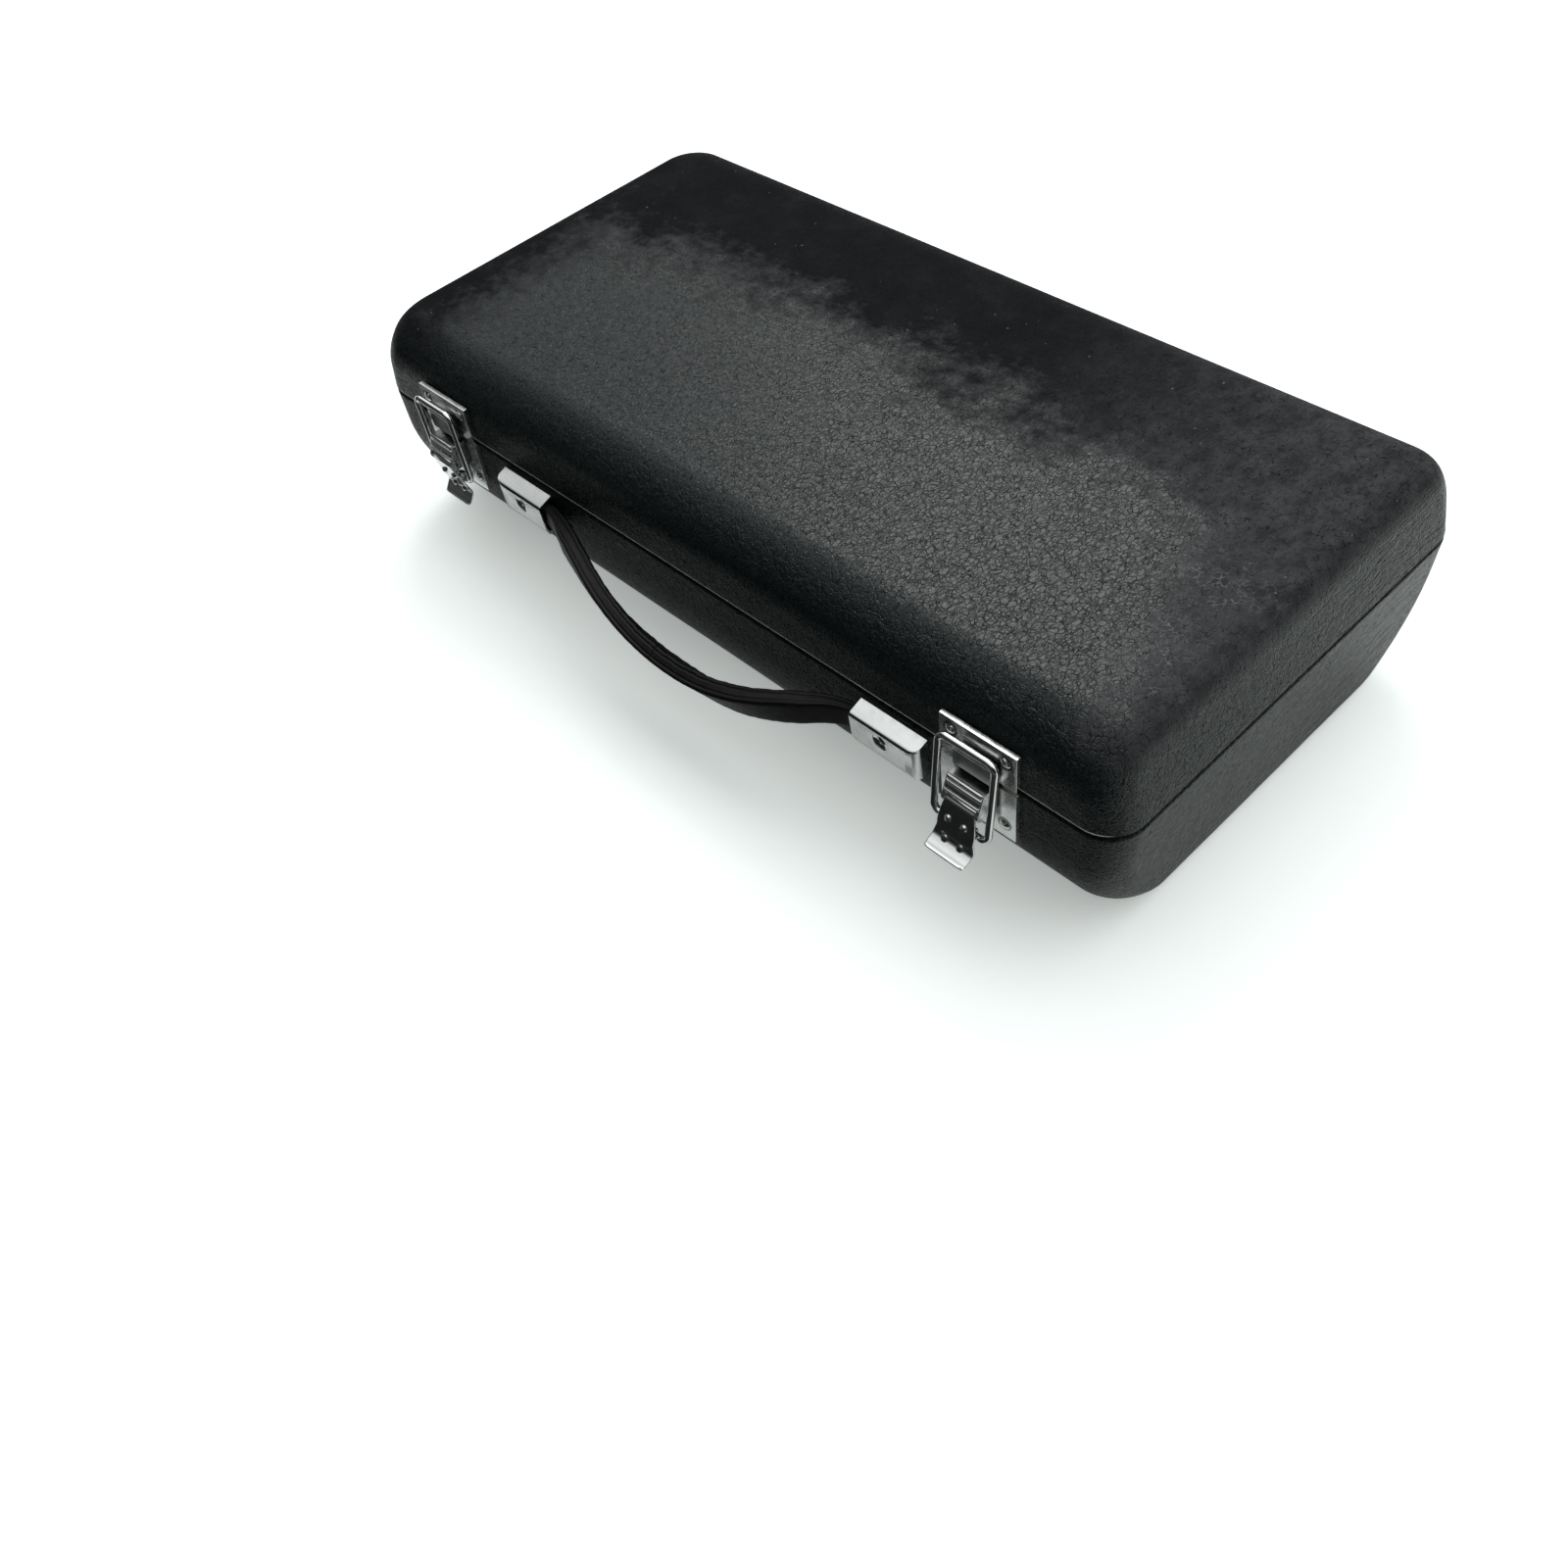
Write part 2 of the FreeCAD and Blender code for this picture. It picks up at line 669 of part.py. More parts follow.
def hinges():
    half = hinge_width / 2
    centre = hinge_centre_knuckle / 2
    outer = centre + hinge_knuckle_gap
    for side, x in zip(("left", "right"), hinge_places):
        lower = hinge_leaf(x, lower_leaf_top - hinge_leaf_height, lower_leaf_top,
                           [(x - half, x - outer), (x + outer, x + half)], hinge_pin_radius,
                           base_hinge_rivets)
        upper = hinge_leaf(x, upper_leaf_bottom, upper_leaf_bottom + hinge_leaf_height,
                           [(x - centre, x + centre)], hinge_pin_radius + running_clearance,
                           lid_hinge_rivets)
        save("hinge_" + side + "_lower_leaf", lower)
        save("hinge_" + side + "_upper_leaf", upper)
        save("hinge_" + side + "_pin", hinge_bar(x - half, x + half, hinge_pin_radius))
    seat = back + hinge_leaf_thickness
    save("hinge_base_rivets", bundle([rivet(x, z, seat, 1) for x, z in base_hinge_rivets]))
    save("hinge_lid_rivets", bundle([rivet(x, z, seat, 1) for x, z in lid_hinge_rivets]))


os.makedirs("parts", exist_ok=True)
lid_pieces()
base_pieces()
save("rim_strip", strip_ring(0))
tray()
latches()
handle()
hinges()
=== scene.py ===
import math

import bmesh
import bpy
from mathutils import Euler, Matrix, Vector, noise


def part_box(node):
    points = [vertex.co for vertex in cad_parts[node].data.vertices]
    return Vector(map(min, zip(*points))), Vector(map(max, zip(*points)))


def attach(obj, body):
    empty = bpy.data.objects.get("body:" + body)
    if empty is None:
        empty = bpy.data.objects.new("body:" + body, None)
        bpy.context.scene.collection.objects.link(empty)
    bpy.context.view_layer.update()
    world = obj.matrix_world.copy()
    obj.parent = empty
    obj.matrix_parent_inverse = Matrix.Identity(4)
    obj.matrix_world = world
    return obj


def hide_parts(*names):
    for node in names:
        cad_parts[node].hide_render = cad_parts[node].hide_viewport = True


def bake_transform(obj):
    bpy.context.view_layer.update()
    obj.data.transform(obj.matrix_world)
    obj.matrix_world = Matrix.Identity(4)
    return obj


# Looks of the instrument case. Sizes repeat the part's own values in millimetres and
# are turned into metres where a mesh is made. X runs along the case, -Y is the front.

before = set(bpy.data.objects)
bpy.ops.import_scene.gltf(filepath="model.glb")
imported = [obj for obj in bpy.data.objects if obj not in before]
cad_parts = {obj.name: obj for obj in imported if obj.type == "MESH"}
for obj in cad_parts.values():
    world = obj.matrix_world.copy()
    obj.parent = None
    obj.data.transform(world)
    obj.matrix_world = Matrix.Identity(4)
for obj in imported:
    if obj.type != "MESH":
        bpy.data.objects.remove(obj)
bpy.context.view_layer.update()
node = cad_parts
MM = 0.001

# Case
CASE_LENGTH = 360.0
CASE_WIDTH = 176.0
CASE_HEIGHT = 87.0
BASE_RIM = 56.0
LID_RIM = 57.2
CORNER_RADIUS = 12.5
LID_SHOULDER = 18.5
LID_END_RADIUS = 6.0
LID_END_DRAFT = 12.0
BASE_BELLY = 43.0
BASE_END_RADIUS = 8.0
BASE_END_DRAFT = 4.5
BOTTOM_PROUD = 0.15
COVER = 0.8
RIM_ROUND = 0.7
INNER = 3.2
LINING = 1.2
LINING_LOW = 60.75
LINING_SOFT = 0.35
FRONT = -88.0
BOTTOM_SOFT = 0.5
LID_CROWN = 0.5

# Steps of the case's meshes, and its slow unevenness as (scale, offset, height)
LONG_STEPS, SHORT_STEPS, CORNER_STEPS = 130, 64, 14
WALL_STEP, SHOULDER_STEPS, PANEL_STEPS, BOTTOM_STEPS = 1.6, 26, 22, 12
UNDULATIONS = [(0.022, 0.0, 0.10), (0.075, 90.0, 0.035)]
RIM_FADE, PANEL_UNEVEN = 6.0, 1.4
PANEL_MIDDLE, PANEL_CORNER, PANEL_CROWN_POWER = 0.6, 0.6, 2.2
TRAY_VOXEL, TRAY_SMOOTHING = 1.3, 9

# Latches
LATCH_X = {"left": -131.5, "right": 131.5}
LIFT_DEG = {"left": 0.0, "right": 30.0}
PIVOT = Vector((0.0, FRONT - 8.0, 47.2))
LEVER_SHEET, LEVER_EDGE = 0.9, 0.3
LEVER_STEP, LEVER_ACROSS, LEVER_TIP_ROWS, LEVER_TIP_ROUND = 0.22, 72, 5, 0.5
LEVER_PATH = [(2.0, 0.0), (1.95, 1.0), (1.33, 3.0), (-0.2, 8.2), (-1.0, 10.6), (-1.25, 11.4),
              (-1.55, 12.3), (-2.0, 13.6), (-2.05, 14.6), (-1.3, 16.0), (-0.35, 17.4),
              (0.15, 18.2), (0.75, 18.6)]
LEVER_HALF_WIDTHS = [5.8, 5.8, 6.4, 7.2, 7.2, 7.2, 7.5, 7.8, 7.9, 7.9, 7.9, 7.8, 7.5]
KNUCKLE_RADIUS, KNUCKLE_HALF = 2.0, 5.8
EYE_AT = (-2.6, 8.0)
EYE_RADIUS, EYE_HALF, EYE_X = 2.1, 1.6, 3.8
BUMP_X, BUMP_RADIUS = 3.05, 1.25
BUMPS, BUMP_BACK = [(6.6, 1.0), (14.1, 0.8)], 0.6
BARREL_STEPS, BARREL_SOFT = 28, 0.2
HOOK_OUT, HOOK_TOP, HOOK_HALF, HOOK_BEAD, HOOK_SOFT = 4.2, 64.7, 7.2, 0.8, 0.45
RIVET_ASIDE, RIVET_HEIGHTS = 10.3, (67.7, 40.8)
BRACKET_RIDGE, BRACKET_LIP, BRACKET_HALF = (7.2, 55.0), (9.2, 50.0), 6.9
BRACKET_INSET, BRACKET_BEAD, BRACKET_BEAD_LOW, BRACKET_ROLL = 0.35, 0.85, 0.1, 0.5
BRACKET_BAND = [(1.42, 0.0), (1.55, 0.34), (1.72, 0.5), (4.0, 0.5), (4.18, 0.34), (4.30, 0.0)]
BRACKET_BACK = -0.3
BRACKET_STATIONS = [(-1.0, 0.0), (-0.97, 0.75), (-0.92, 1.0), (0.92, 1.0), (0.97, 0.75), (1.0, 0.0)]

# Strap and its caps
HANDLE_X = 4.5
HANDLE_Z = 46.2
STRAP_SPAN = 156.6
STRAP_WIDTH = 10.8
STRAP_THICKNESS = 6.2
STRAP_BOW = 18.5
STRAP_DROOP = 37.0
STRAP_LEAN = 36.0
STRAP_SKEW = 0.1
STRAP_TONGUE = 19.0
STRAP_BACK = 1.0
STRAP_STATIONS = 110
STRAP_NARROW, STRAP_NARROW_FROM, STRAP_NARROW_OVER = 0.2, 0.72, 0.24
STRAP_THIN, STRAP_THIN_FROM, STRAP_THIN_OVER = 0.40, 0.80, 0.18
STRAP_SINK, STRAP_SINK_FROM, STRAP_SINK_OVER = 1.3, 0.78, 0.20
STRAP_PLY, STRAP_RAW_WEAR, STRAP_TORN_AT, STRAP_TORN_REACH = 0.9, 0.03, 0.93, 0.16
STRAP_LOOSE, STRAP_CREASE, STRAP_CREASE_STRETCH = 1 / 12, 0.30, (0.55, 0.12)
STRAP_ROUGHNESS = [(0.35, 0.16), (1.1, 0.06)]
STRAP_NUDGE = 0.006
CAP_HALF_HEIGHT = 6.7
CAP_DEPTH_SHARE, CAP_LEAN, CAP_FALL, CAP_DROP = 0.62, 0.07, 0.34, 1.8
CAP_BEND = HANDLE_Z + 4.2
CAP_RIVET_OUT, CAP_RIVET_REACH, CAP_RIVET_WIDER, CAP_RIVET_DISH = 12.7, 2.9, 1.16, 0.9
CAP_RIVET_PROUD, CAP_DISH_EDGE, CAP_DISH_SOFT, CAP_TURN = 7.0, 2.2, 0.6, 0.42

# Rounded edges of the metal
CAP_BEVEL, RIVET_BEVEL, CAD_BEVEL, CAD_FINE_BEVEL = 0.55, 0.15, 0.28, 0.12
WELD_REACH, FLAT_ANGLE, BEVEL_ANGLE = 0.002, 1.5, 32.0

# Places on the walls kept flat under hardware: middle x and z, half width and half height
HINGE_X = 105.0
FLAT_SPOTS = [(x, 54.0, 20.0, 24.0) for x in LATCH_X.values()]
FLAT_SPOTS += [(x, 56.0, 22.0, 18.0) for x in (-HINGE_X, HINGE_X)]
FLAT_SPOTS += [(HANDLE_X, 46.0, 112.0, 10.0)]
FLAT_EDGE, FLAT_FADE = 1.5, 8.0

# Camera of the photograph, and the stage
CAMERA_AT = Vector((318.93, -302.11, 387.94)) * MM
CAMERA_TURN = Euler([math.radians(a) for a in (40.2965, 6.0852, 45.6957)], "XYZ")
CAMERA_LENS = 34.27
CAMERA_SENSOR = 36.0
CARD_Y, CARD_RADIUS, CARD_HEIGHT = -148.0, 26.0, 70.0
CARD_ENDS, CARD_STEPS = (-600.0, 420.0), 12
FLOOR_HALF, FLOOR_LIFT, FLOOR_LIFT_MIRRORED = 9.0, 0.36, 0.08
LAMP_AT, LAMP_SIZE, LAMP_POWER = Vector((-0.67, 0.87, 1.24)), 0.7, 8.0
SKY_BACK_Y, SKY_BACK_Z = (-0.17, 0.14, 0.02, 1.0), (0.30, 0.85, 0.45, 1.85)
SKY_LEFT_X, SKY_UP_Z = (-0.64, -0.80, 0.0, 0.16), (0.60, 0.86)


# Mesh tools

def mesh_object(name, points, faces, material):
    """Smooth-shaded object from points in millimetres."""
    mesh = bpy.data.meshes.new(name)
    mesh.from_pydata([Vector(p) * MM for p in points], [], faces)
    mesh.validate()
    shape = bmesh.new()
    shape.from_mesh(mesh)
    bmesh.ops.recalc_face_normals(shape, faces=shape.faces)
    shape.to_mesh(mesh)
    shape.free()
    mesh.polygons.foreach_set("use_smooth", [True] * len(mesh.polygons))
    mesh.materials.append(material)
    made = bpy.data.objects.new(name, mesh)
    bpy.context.scene.collection.objects.link(made)
    return made


def place(made, body, slot, *nodes):
    """Ride on a body and stand for CAD nodes. The material slot is not used."""
    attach(made, body)
    if nodes:
        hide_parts(*nodes)
    return made


def band(first, second, count):
    """Faces between two closed rings of points that start at these indices."""
    return [(first + i, first + (i + 1) % count, second + (i + 1) % count, second + i)
            for i in range(count)]


def ramp(value, start, length):
    """0 up to a start, rising to 1 over a length."""
    return min(max((value - start) / length, 0.0), 1.0)


def ring_mesh(rings, closed):
    """Points and faces of rings joined in a row, the last to the first or both ends capped."""
    count = len(rings[0])
    points = [p for ring in rings for p in ring]
    faces = []
    for i in range(len(rings) - 1):
        faces += band(i * count, (i + 1) * count, count)
    last = len(points) - count
    if closed:
        faces += band(last, 0, count)
    else:
        faces += [tuple(range(count)), tuple(range(last, last + count))]
    return points, faces


def bevel_edges(made, width, segments=3):
    """Merge the triangles of flat faces, then round the sharp edges."""
    weld = made.modifiers.new("weld", "WELD")
    weld.merge_threshold = WELD_REACH * MM
    flat = made.modifiers.new("flat", "DECIMATE")
    flat.decimate_type = "DISSOLVE"
    flat.angle_limit = math.radians(FLAT_ANGLE)
    edge = made.modifiers.new("edge", "BEVEL")
    edge.width = width * MM
    edge.segments = segments
    edge.limit_method = "ANGLE"
    edge.angle_limit = math.radians(BEVEL_ANGLE)
    made.modifiers.new("normals", "WEIGHTED_NORMAL").keep_sharp = True
    made.data.polygons.foreach_set("use_smooth", [True] * len(made.data.polygons))


# Case covers

def rounding(radius, depth):
    """How far a quarter round has drawn in, at a depth below its crown."""
    if depth >= radius:
        return 0.0
    return radius - math.sqrt(max(radius ** 2 - (radius - depth) ** 2, 0.0))


def plan_ring(half_x, half_y, radius, z):
    """Points round a rounded rectangle, the same number on every ring."""
    ring = []
    corners = [(1, -1, -90), (1, 1, 0), (-1, 1, 90), (-1, -1, 180)]
    for index, (sx, sy, start) in enumerate(corners):
        cx, cy = sx * (half_x - radius), sy * (half_y - radius)
        for step in range(CORNER_STEPS):
            a = math.radians(start + 90 * step / CORNER_STEPS)
            ring.append(Vector((cx + radius * math.cos(a), cy + radius * math.sin(a), z)))
        a = math.radians(start + 90)
        begin = Vector((cx + radius * math.cos(a), cy + radius * math.sin(a), z))
        nx, ny, _ = corners[(index + 1) % 4]
        end_x, end_y = nx * (half_x - radius), ny * (half_y - radius)
        end = Vector((end_x + radius * math.cos(a), end_y + radius * math.sin(a), z))
        steps = SHORT_STEPS if index % 2 == 0 else LONG_STEPS
        ring += [begin.lerp(end, step / steps) for step in range(steps)]
    return ring


def undulation(p):
    """Slow unevenness of glued leatherette over board, in millimetres."""
    return sum(height * noise.noise(Vector((p.x + offset, p.y, p.z)) * scale)
               for scale, offset, height in UNDULATIONS)


def near_fitting(p):
    """1 away from the hardware on the walls, 0 under it, so that plates lie flat."""
    if abs(p.y) < CASE_WIDTH / 2 - FLAT_EDGE:
        return 1.0
    return min(ramp(max(abs(p.x - x) - half_x, abs(p.z - z) - half_z), 0.0, FLAT_FADE)
               for x, z, half_x, half_z in FLAT_SPOTS)


def cover_rings(inset, rim, crown, side_radius, end_radius, draft, rounded_rim, uneven):
    """Rings of a lid or base skin from its rim to the edge of its flat panel."""
    up = 1 if crown > rim else -1
    crown = crown - up * inset
    side_radius, end_radius = side_radius - inset, end_radius - inset
    radius = CORNER_RADIUS - inset
    lean = math.tan(math.radians(draft))
    straight = abs(crown - rim) - side_radius
    heights = []
    if rounded_rim:
        heights += [RIM_ROUND * (1 - math.cos(math.radians(a))) for a in (0, 18, 36, 54, 72)]
    wall_steps = max(4, round(straight / WALL_STEP))
    low = RIM_ROUND if rounded_rim else 0.0
    heights += [low + (straight - low) * i / wall_steps for i in range(wall_steps)]
    heights += [straight + side_radius * math.sin(math.radians(90 * i / SHOULDER_STEPS))
                for i in range(SHOULDER_STEPS + 1)]
    rings = []
    for height in heights:
        z = rim + up * height
        depth = abs(crown - z)
        tuck = rounding(RIM_ROUND, height) if rounded_rim else 0.0
        half_x = CASE_LENGTH / 2 - inset - lean * height - rounding(end_radius, depth) - tuck
        half_y = CASE_WIDTH / 2 - inset - rounding(side_radius, depth) - tuck
        ring = plan_ring(half_x, half_y, radius, z)
        if uneven:
            fade = min(height / RIM_FADE, 1.0)
            ring = [p + Vector((p.x / (CASE_LENGTH / 2), p.y / (CASE_WIDTH / 2), 0)).normalized()
                    * undulation(p) * fade * near_fitting(p) for p in ring]
        rings.append(ring)
    return rings


def panel_rings(edge_x, edge_y, radius, z, crown_rise, uneven, steps):
    """Rings that close a flat panel towards its middle line, with a slight crown."""
    rings = []
    for step in range(1, steps + 1):
        share = step / steps
        inset = (edge_y - PANEL_MIDDLE) * share
        corner = max(radius - inset * PANEL_CORNER, PANEL_MIDDLE / 2)
        ring = plan_ring(edge_x - inset, edge_y - inset, corner, z)
        rise = crown_rise * (1 - (1 - share) ** PANEL_CROWN_POWER)
        for p in ring:
            p.z += rise + (undulation(p) * PANEL_UNEVEN * min(share * 4, 1) if uneven else 0)
        rings.append(ring)
    return rings


def make_lid_cover(material):
    """Skin over the lid's walls, shoulders and top, open below."""
    args = (LID_RIM, CASE_HEIGHT, LID_SHOULDER, LID_END_RADIUS, LID_END_DRAFT)
    outside = cover_rings(0, *args, True, True)
    lean = math.tan(math.radians(LID_END_DRAFT)) * (CASE_HEIGHT - LID_RIM)
    outside += panel_rings(CASE_LENGTH / 2 - lean - LID_END_RADIUS, CASE_WIDTH / 2 - LID_SHOULDER,
                           CORNER_RADIUS, CASE_HEIGHT, LID_CROWN, True, PANEL_STEPS)
    inside = cover_rings(COVER, *args, False, False)
    points, faces = ring_mesh(inside[::-1] + outside, False)
    return mesh_object("lid_leatherette", points, faces, material)


def make_base_cover(material):
    """Skin round the base, open above and below."""
    args = (BASE_RIM, BOTTOM_PROUD, BASE_BELLY, BASE_END_RADIUS, BASE_END_DRAFT)
    outside = cover_rings(0, *args, True, True)
    inside = cover_rings(COVER, *args, False, False)
    points, faces = ring_mesh(outside + inside[::-1], True)
    return mesh_object("base_leatherette", points, faces, material)


def make_bottom_cover(material):
    """Glued-on bottom sheet with a soft edge."""
    low, high = (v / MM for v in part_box("bottom_cover"))
    half_x, half_y = high.x, high.y
    rings = [plan_ring(half_x, half_y, CORNER_RADIUS, high.z)]
    for a in (0, 22.5, 45, 67.5, 90):
        tuck = BOTTOM_SOFT * (1 - math.cos(math.radians(a)))
        rings.append(plan_ring(half_x - tuck, half_y - tuck, CORNER_RADIUS - tuck,
                               low.z + BOTTOM_SOFT * (1 - math.sin(math.radians(a)))))
    rings += panel_rings(half_x - BOTTOM_SOFT, half_y - BOTTOM_SOFT, CORNER_RADIUS - BOTTOM_SOFT,
                         low.z, 0, False, BOTTOM_STEPS)
    points, faces = ring_mesh(rings, False)
    return mesh_object("bottom_leatherette", points, faces, material)


# Plush inside

def make_lining(material):
    """Thin padded lining under the lid's shell, with a soft lower edge."""
    args = (LID_RIM, CASE_HEIGHT, LID_SHOULDER, LID_END_RADIUS, LID_END_DRAFT)
    sides = []
    for inset, uneven in ((INNER + LINING, True), (INNER, False)):
        rings = [r for r in cover_rings(inset, *args, False, uneven) if r[0].z > LINING_LOW - 0.01]
        rings.insert(0, [Vector((p.x, p.y, LINING_LOW)) for p in rings[0]])
        sides.append(rings)
    within, without = sides
    below = Vector((0, 0, LINING_SOFT))
    soft_edge = [[p.lerp(q, 0.5) - below for p, q in zip(within[0], without[0])]]
    points, faces = ring_mesh(without[::-1] + soft_edge + within, False)
    return mesh_object("lid_plush", points, faces, material)


def make_tray(material):
    """Moulded tray: the solid's shape with every lip softened, under short pile."""
    mesh = node["fitted_tray"].data.copy()
    made = bpy.data.objects.new("tray_plush", mesh)
    bpy.context.scene.collection.objects.link(made)
    remesh = made.modifiers.new("remesh", "REMESH")
    remesh.mode = "VOXEL"
    remesh.voxel_size = TRAY_VOXEL * MM
    smooth = made.modifiers.new("smooth", "SMOOTH")
    smooth.factor = 0.5
    smooth.iterations = TRAY_SMOOTHING
    bpy.context.view_layer.update()
    done = made.evaluated_get(bpy.context.evaluated_depsgraph_get())
    baked = bpy.data.meshes.new_from_object(done)
    made.modifiers.clear()
    made.data = baked
    baked.name = "tray_plush"
    baked.materials.clear()
    baked.materials.append(material)
    baked.polygons.foreach_set("use_smooth", [True] * len(baked.polygons))
    return made


# Latch levers

def smooth_path(points, values, step):
    """Points and values along a rounded line through a few points, close together."""
    def spline(a, b, c, d, t):
        return 0.5 * (2 * b + (c - a) * t + (2 * a - 5 * b + 4 * c - d) * t * t
                      + (3 * b - a - 3 * c + d) * t ** 3)

    rows = [(*p, v) for p, v in zip(points, values)]
    rows = [rows[0]] + rows + [rows[-1]]
    out = []
    for i in range(1, len(rows) - 2):
        run = math.dist(rows[i][:2], rows[i + 1][:2])
        for k in range(max(1, round(run / step))):
            t = k / max(1, round(run / step))
            out.append(tuple(spline(*(rows[i - 1 + n][axis] for n in range(4)), t)
                             for axis in range(3)))
    out.append(rows[-2])
    return out


def lever_point(out, down, x):
    """Point outwards of and below the lever's pivot."""
    return Vector((x, PIVOT.y - out, PIVOT.z - down))


def barrel(centre, radius, half, soft=BARREL_SOFT):
    """Points and faces of a round bar along X with softened ends."""
    profile = [(-half, radius * 0.5), (-half, radius - soft), (soft - half, radius),
               (half - soft, radius), (half, radius - soft), (half, radius * 0.5)]
    turns = [math.tau * i / BARREL_STEPS for i in range(BARREL_STEPS)]
    rings = [[centre + Vector((reach, r * math.cos(a), r * math.sin(a))) for a in turns]
             for reach, r in profile]
    return ring_mesh(rings, True)


def make_hook_bead(side, material):
    """Rolled upper edge of the keeper's hook."""
    centre = Vector((LATCH_X[side], FRONT - HOOK_OUT, HOOK_TOP))
    points, faces = barrel(centre, HOOK_BEAD, HOOK_HALF, HOOK_SOFT)
    return mesh_object("hook_bead_" + side, points, faces, material)


def make_bracket_face(side, material):
    """Stamped front of the bracket: a ridge, a raised band and a rolled lip."""
    ridge, lip = Vector(BRACKET_RIDGE), Vector(BRACKET_LIP)
    length = (lip - ridge).length
    along = (lip - ridge).normalized()
    away = Vector((-along.y, along.x))
    bead = [(BRACKET_INSET + BRACKET_BEAD * math.sin(a),
             BRACKET_BEAD * math.cos(a) - BRACKET_BEAD_LOW)
            for a in (math.radians(d) for d in range(-90, 91, 15))]
    roll = [(length - BRACKET_INSET + BRACKET_ROLL * math.sin(a), BRACKET_ROLL * math.cos(a))
            for a in (math.radians(d) for d in range(-90, 91, 18))]
    profile = bead + BRACKET_BAND + roll
    outline = profile + [(profile[-1][0], BRACKET_BACK), (profile[0][0], BRACKET_BACK)]
    rings = []
    for u, shrink in BRACKET_STATIONS:
        ring = []
        for run, rise in outline:
            rise = rise * shrink if rise > 0 else rise
            q = ridge + along * run + away * rise
            ring.append(Vector((LATCH_X[side] + BRACKET_HALF * u, FRONT - q.x, q.y)))
        rings.append(ring)
    points, faces = ring_mesh(rings, False)
    return mesh_object("bracket_face_" + side, points, faces, material)


def make_lever(side, material):
    """Bent sheet with two bumps over the loop's bar and two more above the flared tab."""
    path = smooth_path(LEVER_PATH, LEVER_HALF_WIDTHS, LEVER_STEP)
    across = LEVER_ACROSS
    front, back = [], []
    for i, (out, down, half) in enumerate(path):
        before, after = path[max(i - 1, 0)], path[min(i + 1, len(path) - 1)]
        run = Vector((after[0] - before[0], after[1] - before[1])).normalized()
        face = Vector((run.y, -run.x))
        tip = max(0.0, (i - len(path) + LEVER_TIP_ROWS) / LEVER_TIP_ROWS)
        for k in range(across + 1):
            u = 2 * k / across - 1
            x = half * u
            lift = 0.0
            for at, height in BUMPS:
                gap = math.hypot(abs(x) - BUMP_X, down - at) / BUMP_RADIUS
                lift += height * math.sqrt(max(0.0, 1 - gap * gap))
            edge = max(rounding(LEVER_EDGE, (1 - abs(u)) * half),
                       rounding(LEVER_EDGE, LEVER_EDGE * (1 - tip)))
            down_end = down - LEVER_TIP_ROUND * abs(u) ** 6 * tip
            top = lift - edge
            low = lift * BUMP_BACK - LEVER_SHEET + edge
            front.append(lever_point(out + face.x * top, down_end + face.y * top, x))
            back.append(lever_point(out + face.x * low, down_end + face.y * low, x))
    rows, width = len(path), across + 1
    faces = []
    for layer, flip in ((0, False), (rows * width, True)):
        for i in range(rows - 1):
            for k in range(across):
                a = layer + i * width + k
                quad = (a, a + 1, a + 1 + width, a + width)
                faces.append(quad[::-1] if flip else quad)
    rim = list(range(across)) + [i * width + across for i in range(rows - 1)]
    rim += [(rows - 1) * width + k for k in range(across, 0, -1)]
    rim += [i * width for i in range(rows - 1, 0, -1)]
    for a, b in zip(rim, rim[1:] + rim[:1]):
        faces.append((a, b, b + rows * width, a + rows * width))
    points = front + back
    barrels = [(0.0, 0.0, 0.0, KNUCKLE_RADIUS, KNUCKLE_HALF)]
    barrels += [(s * EYE_X, *EYE_AT, EYE_RADIUS, EYE_HALF) for s in (-1, 1)]
    for x, out, down, radius, half in barrels:
        more, joined = barrel(lever_point(out, down, x), radius, half)
        faces += [tuple(i + len(points) for i in f) for f in joined]
        points += more
    made = mesh_object("lever_" + side, points, faces, material)
    aside = Matrix.Translation(Vector((LATCH_X[side], 0, 0)) * MM)
    about = Matrix.Translation(PIVOT * MM)
    lift = Matrix.Rotation(math.radians(-LIFT_DEG[side]), 4, "X")
    made.data.transform(aside @ about @ lift @ about.inverted())
    return made


# Handle caps

def pressed(mesh):
    """Press a cap or its rivets: shallower, top falling to the front, face overhanging.

    The foot drops a little, and the rivet's place is widened and dished.
    """
    for vertex in mesh.vertices:
        proud = FRONT - vertex.co.y / MM
        above = (vertex.co.z / MM - HANDLE_Z) / CAP_HALF_HEIGHT
        middle = HANDLE_X + math.copysign(STRAP_SPAN / 2 + CAP_RIVET_OUT, vertex.co.x)
        off = Vector((vertex.co.x / MM - middle, vertex.co.z / MM - HANDLE_Z))
        if off.length < CAP_RIVET_REACH and proud > CAP_RIVET_PROUD:
            proud -= CAP_RIVET_DISH * ramp(-off.length, -CAP_DISH_EDGE, CAP_DISH_SOFT)
            vertex.co.x = (middle + off.x * CAP_RIVET_WIDER) * MM
            vertex.co.z = (HANDLE_Z + off.y * CAP_RIVET_WIDER) * MM
        if proud > 0:
            proud *= CAP_DEPTH_SHARE * (1 + CAP_LEAN * above)
            vertex.co.y = (FRONT - proud) * MM
        crown = max(0.0, (above - CAP_TURN) / (1 - CAP_TURN))
        foot = max(0.0, (-above - CAP_TURN) / (1 - CAP_TURN))
        vertex.co.z -= (CAP_FALL * max(proud, 0.0) * crown + CAP_DROP * foot) * MM


